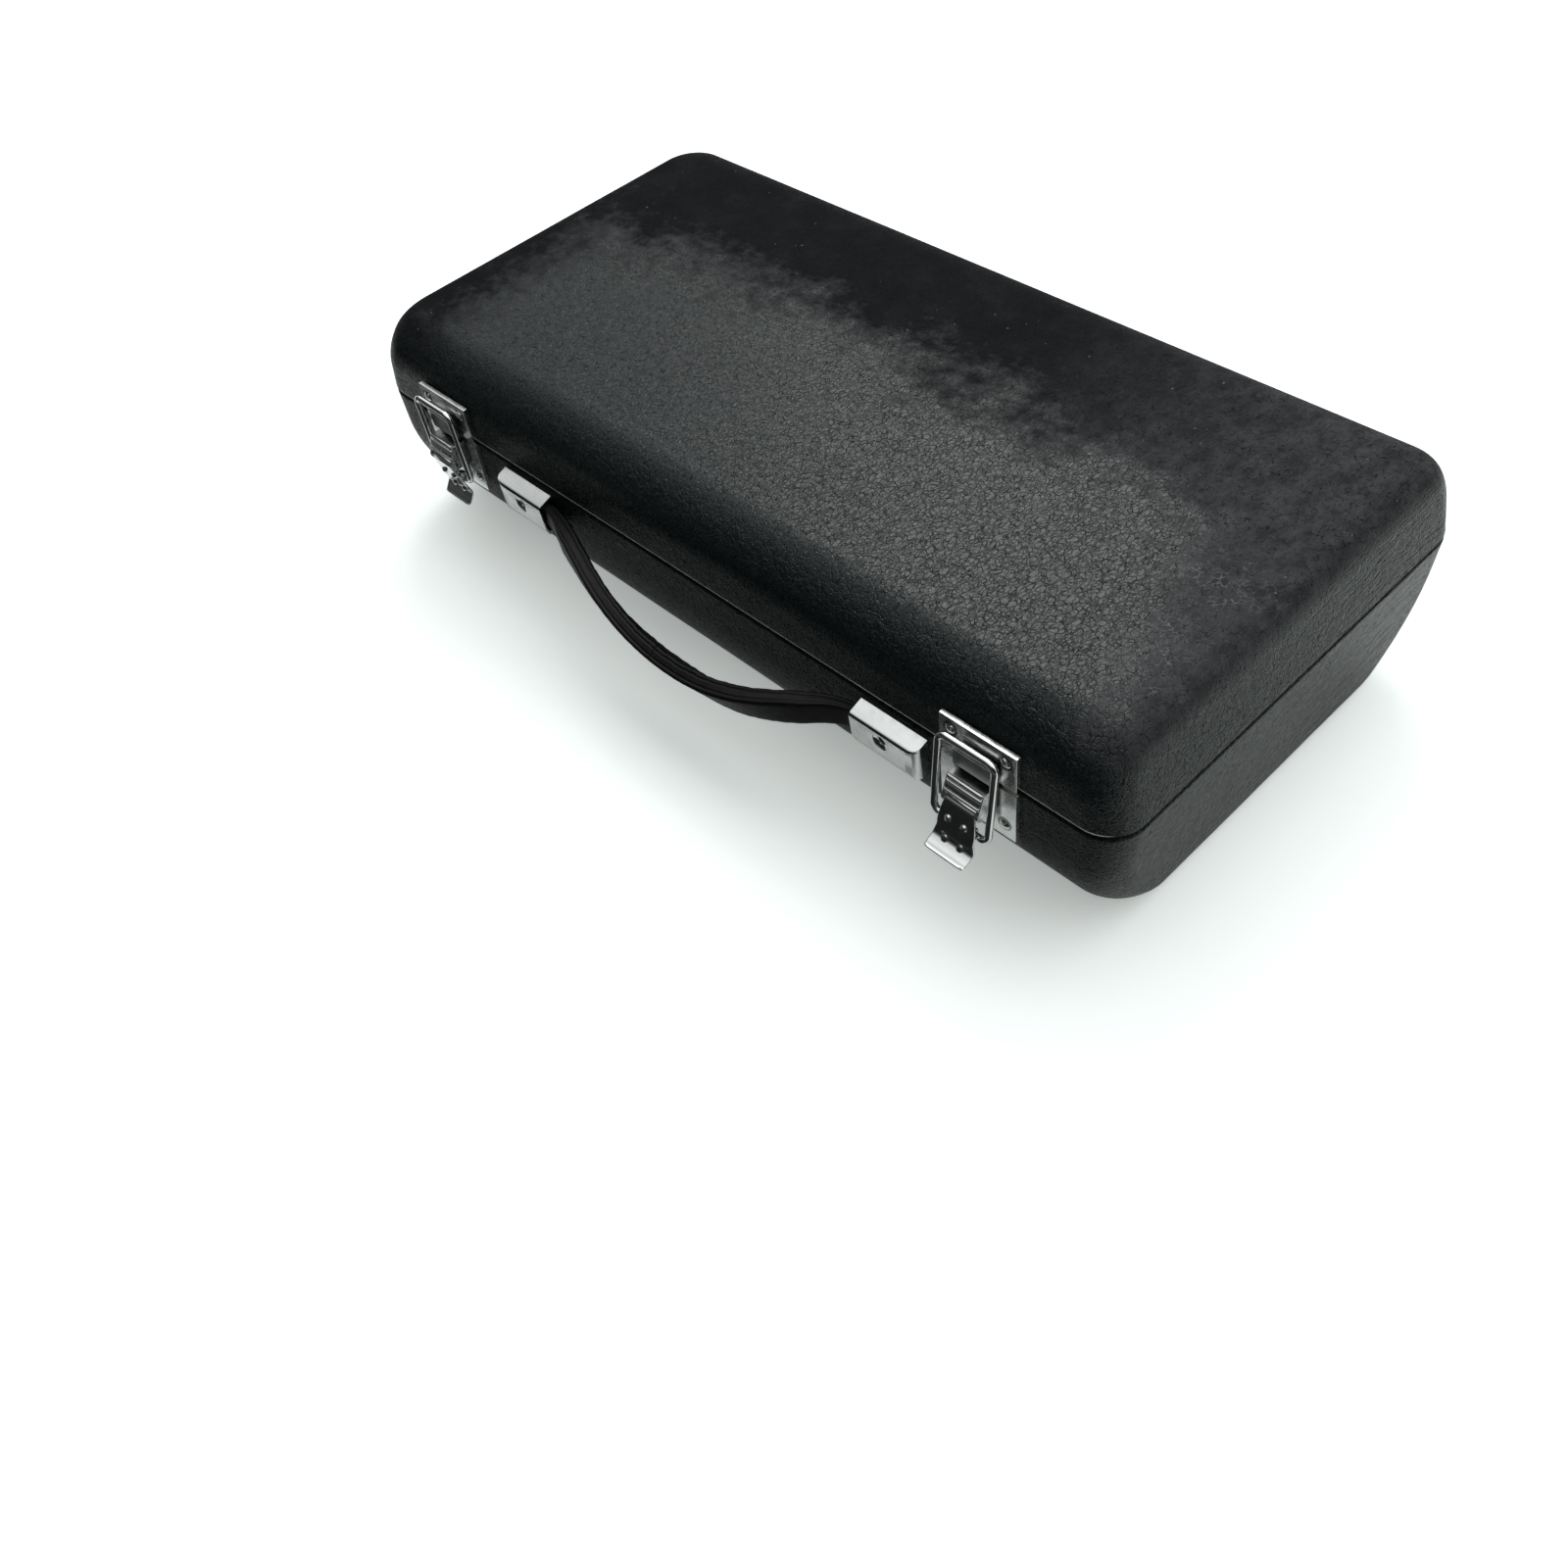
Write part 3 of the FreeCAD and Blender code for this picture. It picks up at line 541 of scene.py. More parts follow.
def make_pressed(name, made_name, material, bevel):
    """Pressed copy of a CAD node, standing for it."""
    made = bpy.data.objects.new(made_name, node[name].data.copy())
    bpy.context.scene.collection.objects.link(made)
    pressed(made.data)
    made.data.materials.clear()
    made.data.materials.append(material)
    bevel_edges(made, bevel, 4)
    return place(made, "base", "chrome", name)


# Strap

def strap_frame(t):
    """Centre, outward and upward directions of the strap at t, past -1 and 1 inside a cap."""
    rest_y = FRONT - STRAP_BACK - STRAP_THICKNESS / 2

    def level(s):
        return 1 - (s - STRAP_SKEW * (1 - s * s)) ** 2

    def centre(s):
        bow = STRAP_BOW * level(s) ** 2 * (2 - level(s))
        droop = math.radians(STRAP_DROOP) * level(s)
        return Vector((STRAP_SPAN / 2 * s, rest_y - bow * math.cos(droop),
                       HANDLE_Z - bow * math.sin(droop)))

    if abs(t) >= 1:
        over = (abs(t) - 1) * STRAP_SPAN / 2
        middle = centre(math.copysign(1, t)) + Vector((math.copysign(over, t), 0, 0))
        return middle + Vector((HANDLE_X, 0, 0)), Vector((0, -1, 0)), Vector((0, 0, 1))
    run = centre(t + STRAP_NUDGE) - centre(t - STRAP_NUDGE)
    heading = math.atan2(run.y, run.x)
    lean = math.radians(STRAP_LEAN) * level(t) ** 3
    along = Vector((math.cos(heading), math.sin(heading), 0))
    out = Vector((along.y, -along.x, 0)) * math.cos(lean) - Vector((0, 0, math.sin(lean)))
    upward = -out.cross(along)
    return centre(t) + Vector((HANDLE_X, 0, 0)), out, upward


def strap_section():
    """Outline of the strap: two leather plies over a core, raw at both edges."""
    half, tall = STRAP_THICKNESS / 2, STRAP_WIDTH / 2
    flat = tall - 1.3
    edge = [(half, flat), (half - 0.12, tall - 0.6), (half - 0.5, tall - 0.16),
            (half - 1.0, tall), (half - 1.55, tall - 0.05), (half - 1.75, tall - 0.34),
            (half - 1.95, tall - 0.08), (0.55, tall - 0.02), (0.0, tall - 0.10),
            (-0.55, tall - 0.02), (1.95 - half, tall - 0.08), (1.75 - half, tall - 0.34),
            (1.55 - half, tall - 0.05), (1.0 - half, tall), (0.5 - half, tall - 0.16),
            (0.12 - half, tall - 0.6), (-half, flat)]
    back = [(-half, flat - 2 * flat * i / 8) for i in range(1, 8)]
    below = [(-u, -v) for u, v in edge]
    face = [(half, 2 * flat * i / 8 - flat) for i in range(1, 8)]
    return edge + back + below + face


def make_strap(side, material):
    """One half of the strap, from inside its cap to the middle."""
    sign = 1 if side == "right" else -1
    end = 1 + STRAP_TONGUE / (STRAP_SPAN / 2)
    outline = strap_section()
    rings, wear = [], []
    for index in range(STRAP_STATIONS + 1):
        t = sign * end * index / STRAP_STATIONS
        centre, out, upward = strap_frame(t)
        loose = ramp(1 - abs(t), 0.0, STRAP_LOOSE)
        narrow = 1 - STRAP_NARROW * ramp(abs(t), STRAP_NARROW_FROM, STRAP_NARROW_OVER)
        thin = 1 - STRAP_THIN * ramp(abs(t), STRAP_THIN_FROM, STRAP_THIN_OVER)
        back = STRAP_SINK * ramp(abs(t), STRAP_SINK_FROM, STRAP_SINK_OVER)
        torn = max(0.0, 1 - abs(t - STRAP_TORN_AT) / STRAP_TORN_REACH)
        upper_wear = STRAP_RAW_WEAR + (1 - STRAP_RAW_WEAR) * torn
        ring = []
        for u, v in outline:
            v *= narrow
            raw = 1.0 if abs(u) < STRAP_THICKNESS / 2 - STRAP_PLY else 0.0
            wear.append(raw * (upper_wear if v > 0 else STRAP_RAW_WEAR))
            p = centre + out * (u * thin - back) + upward * v
            rough = sum(noise.noise(p * scale) * height for scale, height in STRAP_ROUGHNESS)
            crease = 0.0
            if u < -0.5:
                along, across = STRAP_CREASE_STRETCH
                crease = noise.noise(Vector((p.x * along, 3.0, v * across)))
                crease *= STRAP_CREASE * (1 - t * t)
            ring.append(p + (out * (rough * 0.5 + crease) + upward * rough * 0.7) * loose)
        rings.append(ring)
    points, faces = ring_mesh(rings, False)
    made = mesh_object("strap_" + side, points, faces, material)
    made.data.attributes.new("raw_edge", "FLOAT", "POINT").data.foreach_set("value", wear)
    return made


# Materials: colours are linear, noise and cell scales are per millimetre, and a named range
# is (from low, from high) or (from low, from high, to low, to high)

HIDE_DARK, HIDE_LIGHT = (0.0032, 0.0068, 0.0070, 1), (0.0048, 0.0076, 0.0080, 1)
# The crease colour is painted shade in the grain's valleys.
HIDE_CREASE_SHADE, HIDE_DULL = (0.0015, 0.0025, 0.0026, 1), (0.0048, 0.0053, 0.0070, 1)
DUST_DARK, DUST_LIGHT = (0.0260, 0.0260, 0.0290, 1), (0.0600, 0.0595, 0.0640, 1)
# The rim's pale colour is partly wear and partly a painted highlight.
FLECK, RIM_WORN_LIT = (0.42, 0.44, 0.44, 1), (0.62, 0.58, 0.53, 1)
CHROME, CHROME_PIT = (0.82, 0.83, 0.82, 1), (0.34, 0.32, 0.29, 1)
# Painted shade on the latches: a darker hook, and the inside of the loop with rings round the
# rivets.
CHROME_HOOK_SHADE, CHROME_SHADE = (0.36, 0.37, 0.37, 1), (0.05, 0.05, 0.048, 1)
# Painted shade: a dark line along the cap's bend.
CHROME_BEND_SHADE = (0.03, 0.03, 0.03, 1)
STRAP_DARK, STRAP_LIGHT = (0.0018, 0.0019, 0.0019, 1), (0.0044, 0.0043, 0.0042, 1)
STRAP_RAW = (0.070, 0.034, 0.016, 1)
PLUSH_DARK, PLUSH_LIGHT = (0.085, 0.008, 0.014, 1), (0.20, 0.022, 0.034, 1)
PLUSH_NAP, PLUSH_SHEEN = (0.26, 0.05, 0.06, 1), (0.75, 0.30, 0.32, 1)
BOARD_DARK, BOARD_LIGHT = (0.020, 0.017, 0.014, 1), (0.045, 0.038, 0.030, 1)
BINDING_DARK, BINDING_LIGHT = (0.20, 0.16, 0.13, 1), (0.42, 0.36, 0.31, 1)
FLOOR_COLOUR, FLOOR_GLOW = (0.90, 0.93, 0.915, 1), (0.95, 1.0, 0.97, 1)
CARD_COLOUR, SKY_COLOUR = (0.01, 0.01, 0.01, 1), (0.97, 1.0, 0.99, 1)

# Leatherette grain
GRAIN_WANDER, GRAIN_WANDER_SCALE, GRAIN_DRAW = 2.6, 0.35, (1.2, 0.74, 1.05)
LARGE_CELLS, SMALL_CELLS, CREASE_CELLS = (0.47, 0.10), (0.78, 0.16), (0.17, 0.06)
SIZE_SCALE, SIZE_RANGE = 0.24, (0.32, 0.56)
DEPTH_SCALE, DEPTH_RANGE = 0.45, (0.34, 0.58, 0.5, 1.0)
FINE_SCALE, ROLLING_SCALE = 2.6, 0.55
PEBBLE_RISE, SMALL_RISE, CREASE_RISE, ROLLING_RISE, FINE_RISE = 0.58, 0.14, 0.34, 0.42, 0.14
WRINKLE_STRETCH, WRINKLE_EDGE, WRINKLE_RISE = (0.40, 0.035, 0.34), (0.0, 0.05), 1.1
WRINKLE_X, WRINKLE_Y = (158.0, 170.0), (0.0, 50.0)
RELIEF_BY_Z, GRAIN_DEPTH = (78.0, 86.8, 3.4, 1.05), 0.16

# Leatherette wear
CLOUD_SCALE, CLOUD_REACH, PATCHY_SCALE, MOTTLE_SCALE = 0.028, 70.0, 0.16, 0.075
SCUFF_REAR, SCUFF_RIGHT, SCUFF_LEFT = (-6.0, 42.0), (122.0, 174.0), (122.0, 178.0)
SCUFF_SLANT, SCUFF_RAGGED, SCUFF_EDGE, SCUFF_Z = 0.30, 1.3, (0.12, 0.80), (74.0, 85.0)
MOTTLE_RANGE = (0.35, 0.62, 1.0, 0.84)
FLECK_SCALE, FLECK_SIZE, FLECK_CHANCE = 0.55, (0.20, 0.08), (0.972, 0.985)
FLECK_SHARE = (0.2, 0.6, 0.05, 0.35)
CRACKED_SPOTS = [((155, -10), (22, 16)), ((158, -44), (15, 30))]
CRACKED_Z, CRACKED_PATCHY, CRACKED_SHARE = (80.0, 84.0), (0.42, 0.64), (0.7, 0.2, 0.0, 0.24)
# The pale line along the lid's front rim is partly wear and partly a painted highlight.
RIM_LINE_TOP, RIM_LINE_FOOT, RIM_LINE_Y = (58.15, 57.85), (56.9, 57.1), (-84.0, -86.5, 0.0, 0.85)
TONE_SCALE, DUST_STRETCH, DUST_RANGE, DUST_X = 0.03, (0.16, 0.11, 0.14), (0.40, 0.64), (40.0, 140.0)

# Leatherette gloss
ROUGH_FINE, ROUGH_VALLEY = (0.3, 0.7, 0.20, 0.30), (0.0, 0.7, 0.12, 0.0)
ROUGH_SCUFFED = (0.0, 1.0, 0.2, 0.80)
SHINE_VALLEY, SHINE_SCUFFED = (0.0, 0.9, 0.07, 0.38), (0.0, 0.9, 0.42, 0.09)
SHINE_BY_X, SHINE_BY_Y = (-175.0, 120.0, 0.48, 0.68), (-81.0, -87.0, 1.0, 0.38)
SHINE_BY_Z, SHINE_PLAIN = (56.0, 57.0, 0.84, 1.0), 0.26

# Chrome
WORN_SCALE, WORN_RANGE, BRUSH_STRETCH = 0.28, (0.35, 0.70), (0.4, 5, 5)
PIT_SCALE, PIT_SIZE, PIT_CHANCE, PIT_SHARE = 1.6, (0.26, 0.10), (0.90, 0.94), 0.6
WORN_RISE, BRUSH_RISE, PIT_FALL = 0.6, 0.06, 0.3
# The hook is duller and painted darker. The darker colour is painted shade and dark reflection.
HOOK_FROM = (FRONT - 3.4, FRONT - 3.7)
# Where painted shade lies inside the latch's loop and round its rivets.
SHADE_ASIDE, SHADE_Y = (9.4, 8.4), (FRONT - 3.4, FRONT - 3.0)
SHADE_FOOT, SHADE_TOP, SHADE_SHARE = (40.0, 44.0), (66.5, 65.0), 0.85
SHADE_ROUND_RIVET = (2.9, 2.4, 0.0, 0.8)
# The band of painted shade along the cap's bend.
BEND_HALF, BEND_SOFT, BEND_Y = 0.42, 0.22, (FRONT - 4.0, FRONT - 4.6, 0.0, 0.9)


def material_tree(name):
    made = bpy.data.materials.new(name)
    made.use_nodes = True
    tree = made.node_tree
    return made, tree, tree.nodes["Principled BSDF"]


def add(tree, kind, values=None, **settings):
    """Node with its settings, and its inputs set to values or linked to sockets."""
    made = tree.nodes.new("ShaderNode" + kind)
    for name, value in settings.items():
        setattr(made, name, value)
    for name, value in (values or {}).items():
        if isinstance(value, bpy.types.NodeSocket):
            tree.links.new(value, made.inputs[name])
        else:
            made.inputs[name].default_value = value
    return made


def feed(tree, shader, **sockets):
    for name, socket in sockets.items():
        tree.links.new(socket, shader.inputs[name.replace("_", " ")])


def scaled(tree, factors):
    """Object coordinates in millimetres times a factor on each axis."""
    where = add(tree, "TexCoord").outputs["Object"]
    sizes = tuple(f / MM for f in factors)
    return add(tree, "VectorMath", {0: where, 1: sizes}, operation="MULTIPLY").outputs[0]


def remap(tree, value, low, high, to_low=0.0, to_high=1.0):
    return add(tree, "MapRange", {"Value": value, "From Min": low, "From Max": high,
                                  "To Min": to_low, "To Max": to_high}).outputs[0]


def maths(tree, operation, a, b=0.0):
    return add(tree, "Math", {0: a, 1: b}, operation=operation).outputs[0]


def product(tree, first, *others):
    for other in others:
        first = maths(tree, "MULTIPLY", first, other)
    return first


def total(tree, first, *others):
    for other in others:
        first = maths(tree, "ADD", first, other)
    return first


def inverse(tree, value):
    return maths(tree, "SUBTRACT", 1.0, value)


def weighted(tree, *pairs):
    """Sum of values, each times its share."""
    return total(tree, *(product(tree, value, share) for value, share in pairs))


def noise_at(tree, where, scale, detail, roughness=0.5):
    return add(tree, "TexNoise", {"Vector": where, "Scale": scale, "Detail": detail,
                                  "Roughness": roughness}).outputs["Fac"]


def cells(tree, where, scale, width):
    """Rounded cells that fall to 0 at their edges, over a width given in cells."""
    found = add(tree, "TexVoronoi", {"Vector": where, "Scale": scale}, feature="DISTANCE_TO_EDGE")
    return add(tree, "MapRange", {"Value": found.outputs["Distance"], "From Max": width},
               interpolation_type="SMOOTHSTEP").outputs[0]


def dots(tree, where, scale, size, chance):
    """1 in a few scattered dots, by ranges of their distance and of their cell's draw."""
    found = add(tree, "TexVoronoi", {"Vector": where, "Scale": scale})
    draw = add(tree, "SeparateColor", {0: found.outputs["Color"]}).outputs[0]
    return product(tree, remap(tree, found.outputs["Distance"], *size), remap(tree, draw, *chance))


def spot(tree, x, y, centre, reach):
    """1 inside an oval in plan, falling to 0 at its reach."""
    parts = []
    for value, middle, size in zip((x, y), centre, reach):
        away = maths(tree, "DIVIDE", maths(tree, "SUBTRACT", value, middle), size)
        parts.append(product(tree, away, away))
    return remap(tree, total(tree, *parts), 1.0, 0.2)


def blend_colours(tree, share, first, second):
    made = add(tree, "Mix", data_type="RGBA")
    for slot, value in ((0, share), (6, first), (7, second)):
        if isinstance(value, bpy.types.NodeSocket):
            tree.links.new(value, made.inputs[slot])
        else:
            made.inputs[slot].default_value = value
    return made.outputs[2]


def leather_grain(tree, place_mm, warped):
    """Height of the grain, with the pebbles, large cells and fine pores that make it up."""
    drawn = add(tree, "VectorMath", {0: warped, 1: GRAIN_DRAW}, operation="MULTIPLY").outputs[0]
    large = cells(tree, drawn, *LARGE_CELLS)
    small = cells(tree, drawn, *SMALL_CELLS)
    creases = cells(tree, drawn, *CREASE_CELLS)
    share = remap(tree, noise_at(tree, place_mm, SIZE_SCALE, 2.0), *SIZE_RANGE)
    depth = remap(tree, noise_at(tree, place_mm, DEPTH_SCALE, 2.0), *DEPTH_RANGE)
    pebbles = weighted(tree, (large, share), (small, inverse(tree, share)))
    pebbles = inverse(tree, product(tree, inverse(tree, pebbles), depth))
    fine = noise_at(tree, place_mm, FINE_SCALE, 3.0)
    rolling = noise_at(tree, place_mm, ROLLING_SCALE, 1.0)
    height = weighted(tree, (pebbles, PEBBLE_RISE), (small, SMALL_RISE), (creases, CREASE_RISE),
                      (rolling, ROLLING_RISE), (fine, FINE_RISE))
    return height, pebbles, large, fine


def stretch_wrinkles(tree, x, y):
    """Wrinkles where the cover turns round the rear of the right end."""
    pulled = noise_at(tree, scaled(tree, WRINKLE_STRETCH), 1.0, 2.0)
    pulled = maths(tree, "ABSOLUTE", maths(tree, "SUBTRACT", pulled, 0.5))
    return product(tree, remap(tree, pulled, *WRINKLE_EDGE), remap(tree, x, *WRINKLE_X),
                   remap(tree, y, *WRINKLE_Y))


def scuffs(tree, place_mm, x, y, z, patchy):
    """Dull places on the lid: a cloudy band along its back, and its two ends."""
    cloud = noise_at(tree, place_mm, CLOUD_SCALE, 4.0, 0.55)
    cloud = product(tree, maths(tree, "SUBTRACT", cloud, 0.5), CLOUD_REACH)
    rear = remap(tree, total(tree, y, cloud), *SCUFF_REAR)
    right = remap(tree, total(tree, x, cloud, product(tree, y, SCUFF_SLANT)), *SCUFF_RIGHT)
    left = remap(tree, maths(tree, "SUBTRACT", product(tree, cloud, 0.5), x), *SCUFF_LEFT)
    scuffed = maths(tree, "MAXIMUM", maths(tree, "MAXIMUM", rear, right), left)
    ragged = product(tree, maths(tree, "SUBTRACT", patchy, 0.5), SCUFF_RAGGED)
    scuffed = remap(tree, total(tree, scuffed, ragged), *SCUFF_EDGE)
    mottle = remap(tree, noise_at(tree, place_mm, MOTTLE_SCALE, 6.0, 0.65), *MOTTLE_RANGE)
    return product(tree, scuffed, mottle, remap(tree, z, *SCUFF_Z))


def pale_wear(tree, x, y, z, warped, patchy, large, scuffed):
    """Pale flecks, most of them in the scuffed places, and cracked creases at the right end."""
    flecks = product(tree, dots(tree, warped, FLECK_SCALE, FLECK_SIZE, FLECK_CHANCE),
                     remap(tree, scuffed, *FLECK_SHARE))
    cracked = maths(tree, "MAXIMUM", *(spot(tree, x, y, *where) for where in CRACKED_SPOTS))
    cracked = product(tree, cracked, remap(tree, z, *CRACKED_Z),
                      remap(tree, patchy, *CRACKED_PATCHY), remap(tree, large, *CRACKED_SHARE))
    return maths(tree, "MAXIMUM", flecks, cracked)


def leatherette():
    """Black pebbled cover, painted darker in its creases as shade, dull and dusty where scuffed,
    and pale along the lid's front rim, partly wear and partly a painted highlight.
    """
    made, tree, shader = material_tree("leatherette")
    place_mm = scaled(tree, (1, 1, 1))
    x, y, z = add(tree, "SeparateXYZ", {0: place_mm}).outputs

    wander = add(tree, "TexNoise", {"Vector": place_mm, "Scale": GRAIN_WANDER_SCALE, "Detail": 2.0})
    shift = add(tree, "VectorMath", {0: wander.outputs["Color"], 1: (0.5, 0.5, 0.5)},
                operation="SUBTRACT").outputs[0]
    shift = add(tree, "VectorMath", {0: shift, "Scale": GRAIN_WANDER}, operation="SCALE").outputs[0]
    warped = add(tree, "VectorMath", {0: place_mm, 1: shift}, operation="ADD").outputs[0]
    height, pebbles, large, fine = leather_grain(tree, place_mm, warped)
    height = total(tree, height, product(tree, stretch_wrinkles(tree, x, y), WRINKLE_RISE))
    height = product(tree, height, remap(tree, z, *RELIEF_BY_Z))
    bump = add(tree, "Bump", {"Height": height, "Strength": 1.0, "Distance": GRAIN_DEPTH * MM})

    patchy = noise_at(tree, place_mm, PATCHY_SCALE, 7.0, 0.72)
    scuffed = scuffs(tree, place_mm, x, y, z, patchy)
    pale = pale_wear(tree, x, y, z, warped, patchy, large, scuffed)
    # Pale line along the lid's front rim: partly wear, partly a painted highlight where its edge
    # catches the light.
    rim_wear_and_highlight = product(tree, remap(tree, z, *RIM_LINE_TOP), remap(tree, z, *RIM_LINE_FOOT),
                       remap(tree, y, *RIM_LINE_Y))
    valley = remap(tree, pebbles, 0.0, 0.5)

    streaks = noise_at(tree, scaled(tree, DUST_STRETCH), 1.0, 6.0, 0.72)
    dusty = blend_colours(tree, remap(tree, streaks, *DUST_RANGE), DUST_DARK, DUST_LIGHT)
    dull = blend_colours(tree, remap(tree, x, *DUST_X), HIDE_DULL, dusty)
    tone = noise_at(tree, place_mm, TONE_SCALE, 3.0)
    colour = blend_colours(tree, tone, HIDE_DARK, HIDE_LIGHT)
    colour = blend_colours(tree, scuffed, colour, dull)
    # Creases painted darker: painted shade in the grain's valleys.
    colour = blend_colours(tree, valley, HIDE_CREASE_SHADE, colour)
    colour = blend_colours(tree, pale, colour, FLECK)
    colour = blend_colours(tree, rim_wear_and_highlight, colour, RIM_WORN_LIT)

    rough = total(tree, remap(tree, fine, *ROUGH_FINE), remap(tree, valley, *ROUGH_VALLEY))
    rough = maths(tree, "MAXIMUM", rough, remap(tree, scuffed, *ROUGH_SCUFFED))
    shine = maths(tree, "MINIMUM", remap(tree, valley, *SHINE_VALLEY),
                  remap(tree, scuffed, *SHINE_SCUFFED))
    shine = product(tree, shine, remap(tree, y, *SHINE_BY_Y), remap(tree, x, *SHINE_BY_X),
                    remap(tree, z, *SHINE_BY_Z))
    shader.inputs["Specular IOR Level"].default_value = SHINE_PLAIN
    feed(tree, shader, Base_Color=colour, Roughness=rough, Normal=bump.outputs[0],
         Specular_IOR_Level=shine)
    return made


def latch_shade(tree, x, y, z):
    """1 where shade is painted on a latch: inside the loop and round the rivets."""
    aside = maths(tree, "SUBTRACT", maths(tree, "ABSOLUTE", x), LATCH_X["right"])
    aside = maths(tree, "ABSOLUTE", aside)
    shade_mask = product(tree, remap(tree, aside, *SHADE_ASIDE), remap(tree, y, *SHADE_Y),
                   remap(tree, z, *SHADE_FOOT), remap(tree, z, *SHADE_TOP), SHADE_SHARE)
    across = maths(tree, "SUBTRACT", aside, RIVET_ASIDE)
    for height in RIVET_HEIGHTS:
        up = maths(tree, "SUBTRACT", z, height)
        away = maths(tree, "SQRT", weighted(tree, (across, across), (up, up)))
        shade_mask = maths(tree, "MAXIMUM", shade_mask, remap(tree, away, *SHADE_ROUND_RIVET))
    return shade_mask


def chrome(name, rough_low, rough_high, hook_rough=None, shaded_loop=False, bend=None):
    """Worn plating with pits. It can have a duller hook, and painted shade on the hook, inside the
    loop and round the rivets, or as a dark line along a bend at a height.
    """
    made, tree, shader = material_tree(name)
    place_mm = scaled(tree, (1, 1, 1))
    worn = noise_at(tree, place_mm, WORN_SCALE, 5.0, 0.6)
    pits = dots(tree, place_mm, PIT_SCALE, PIT_SIZE, PIT_CHANCE)
    brushed = noise_at(tree, scaled(tree, BRUSH_STRETCH), 1.0, 3.0)
    height = weighted(tree, (worn, WORN_RISE), (brushed, BRUSH_RISE), (pits, -PIT_FALL))
    bump = add(tree, "Bump", {"Height": height, "Strength": 0.16, "Distance": 0.12 * MM})
    colour = blend_colours(tree, product(tree, pits, PIT_SHARE), CHROME, CHROME_PIT)
    rough = remap(tree, worn, *WORN_RANGE, rough_low, rough_high)
    if hook_rough or shaded_loop or bend:
        x, y, z = add(tree, "SeparateXYZ", {0: place_mm}).outputs
    if hook_rough:
        hook = remap(tree, y, *HOOK_FROM)
        rough = maths(tree, "MAXIMUM", rough, product(tree, hook, hook_rough))
        # The hook's darker colour is painted shade and dark reflection. Its roughness is its own.
        colour = blend_colours(tree, hook, colour, CHROME_HOOK_SHADE)
    if shaded_loop:
        # Painted shade inside the loop and round the rivets.
        colour = blend_colours(tree, latch_shade(tree, x, y, z), colour, CHROME_SHADE)
    if bend:
        # A dark line painted along the bend as shade.
        bend_shade = product(tree, remap(tree, z, bend - BEND_HALF, bend - BEND_SOFT),
                       remap(tree, z, bend + BEND_HALF, bend + BEND_SOFT),
                       remap(tree, y, *BEND_Y))
        colour = blend_colours(tree, bend_shade, colour, CHROME_BEND_SHADE)
    shader.inputs["Metallic"].default_value = 1.0
    feed(tree, shader, Base_Color=colour, Roughness=rough, Normal=bump.outputs[0])
    return made


def strap_leather():
    """Dark grained leather with fibres, brown where an edge is raw and worn."""
    made, tree, shader = material_tree("strap_leather")
    place_mm = scaled(tree, (1, 1, 1))
    raw = add(tree, "Attribute", attribute_name="raw_edge").outputs["Fac"]
    grain = add(tree, "TexVoronoi", {"Vector": place_mm, "Scale": 1.9},
                feature="DISTANCE_TO_EDGE").outputs["Distance"]
    fibre = noise_at(tree, scaled(tree, (0.5, 2.5, 2.5)), 1.0, 5.0)
    height = total(tree, remap(tree, grain, 0.0, 0.3, 0.0, 0.35),
                   product(tree, fibre, remap(tree, raw, 0.0, 0.3, 0.4, 1.6)))
    bump = add(tree, "Bump", {"Height": height, "Strength": 0.45, "Distance": 0.16 * MM})
    worn = remap(tree, noise_at(tree, place_mm, 0.35, 6.0, 0.65), 0.42, 0.62)
    colour = blend_colours(tree, fibre, STRAP_DARK, STRAP_LIGHT)
    colour = blend_colours(tree, product(tree, worn, raw), colour, STRAP_RAW)
    rough = total(tree, remap(tree, fibre, 0.3, 0.7, 0.34, 0.50),
                  remap(tree, raw, 0.0, 0.3, 0.0, 0.30))
    shader.inputs["Specular IOR Level"].default_value = 0.24
    feed(tree, shader, Base_Color=colour, Roughness=rough, Normal=bump.outputs[0])
    return made


def plush():
    """Short pile with paler brushed places."""
    made, tree, shader = material_tree("plush")
    pile = noise_at(tree, scaled(tree, (1, 1, 1)), 3.2, 4.0)
    nap = noise_at(tree, scaled(tree, (0.05, 0.08, 0.08)), 1.0, 4.0)
    bump = add(tree, "Bump", {"Height": pile, "Strength": 0.9, "Distance": 0.35 * MM})
    colour = blend_colours(tree, pile, PLUSH_DARK, PLUSH_LIGHT)
    colour = blend_colours(tree, remap(tree, nap, 0.42, 0.60, 0.0, 0.45), colour, PLUSH_NAP)
    shader.inputs["Roughness"].default_value = 0.95
    shader.inputs["Sheen Weight"].default_value = 0.55
    shader.inputs["Sheen Roughness"].default_value = 0.45
    shader.inputs["Sheen Tint"].default_value = PLUSH_SHEEN
    feed(tree, shader, Base_Color=colour, Normal=bump.outputs[0])
    return made


def plain_grain(name, dark, light, stretch, rough_low, rough_high):
    """Streaked or mottled surface between two colours."""
    made, tree, shader = material_tree(name)
    grain = noise_at(tree, scaled(tree, stretch), 1.0, 6.0, 0.6)
    bump = add(tree, "Bump", {"Height": grain, "Strength": 0.3, "Distance": 0.1 * MM})
    colour = blend_colours(tree, remap(tree, grain, 0.3, 0.7), dark, light)
    feed(tree, shader, Base_Color=colour, Normal=bump.outputs[0],
         Roughness=remap(tree, grain, 0.3, 0.7, rough_low, rough_high))
    return made


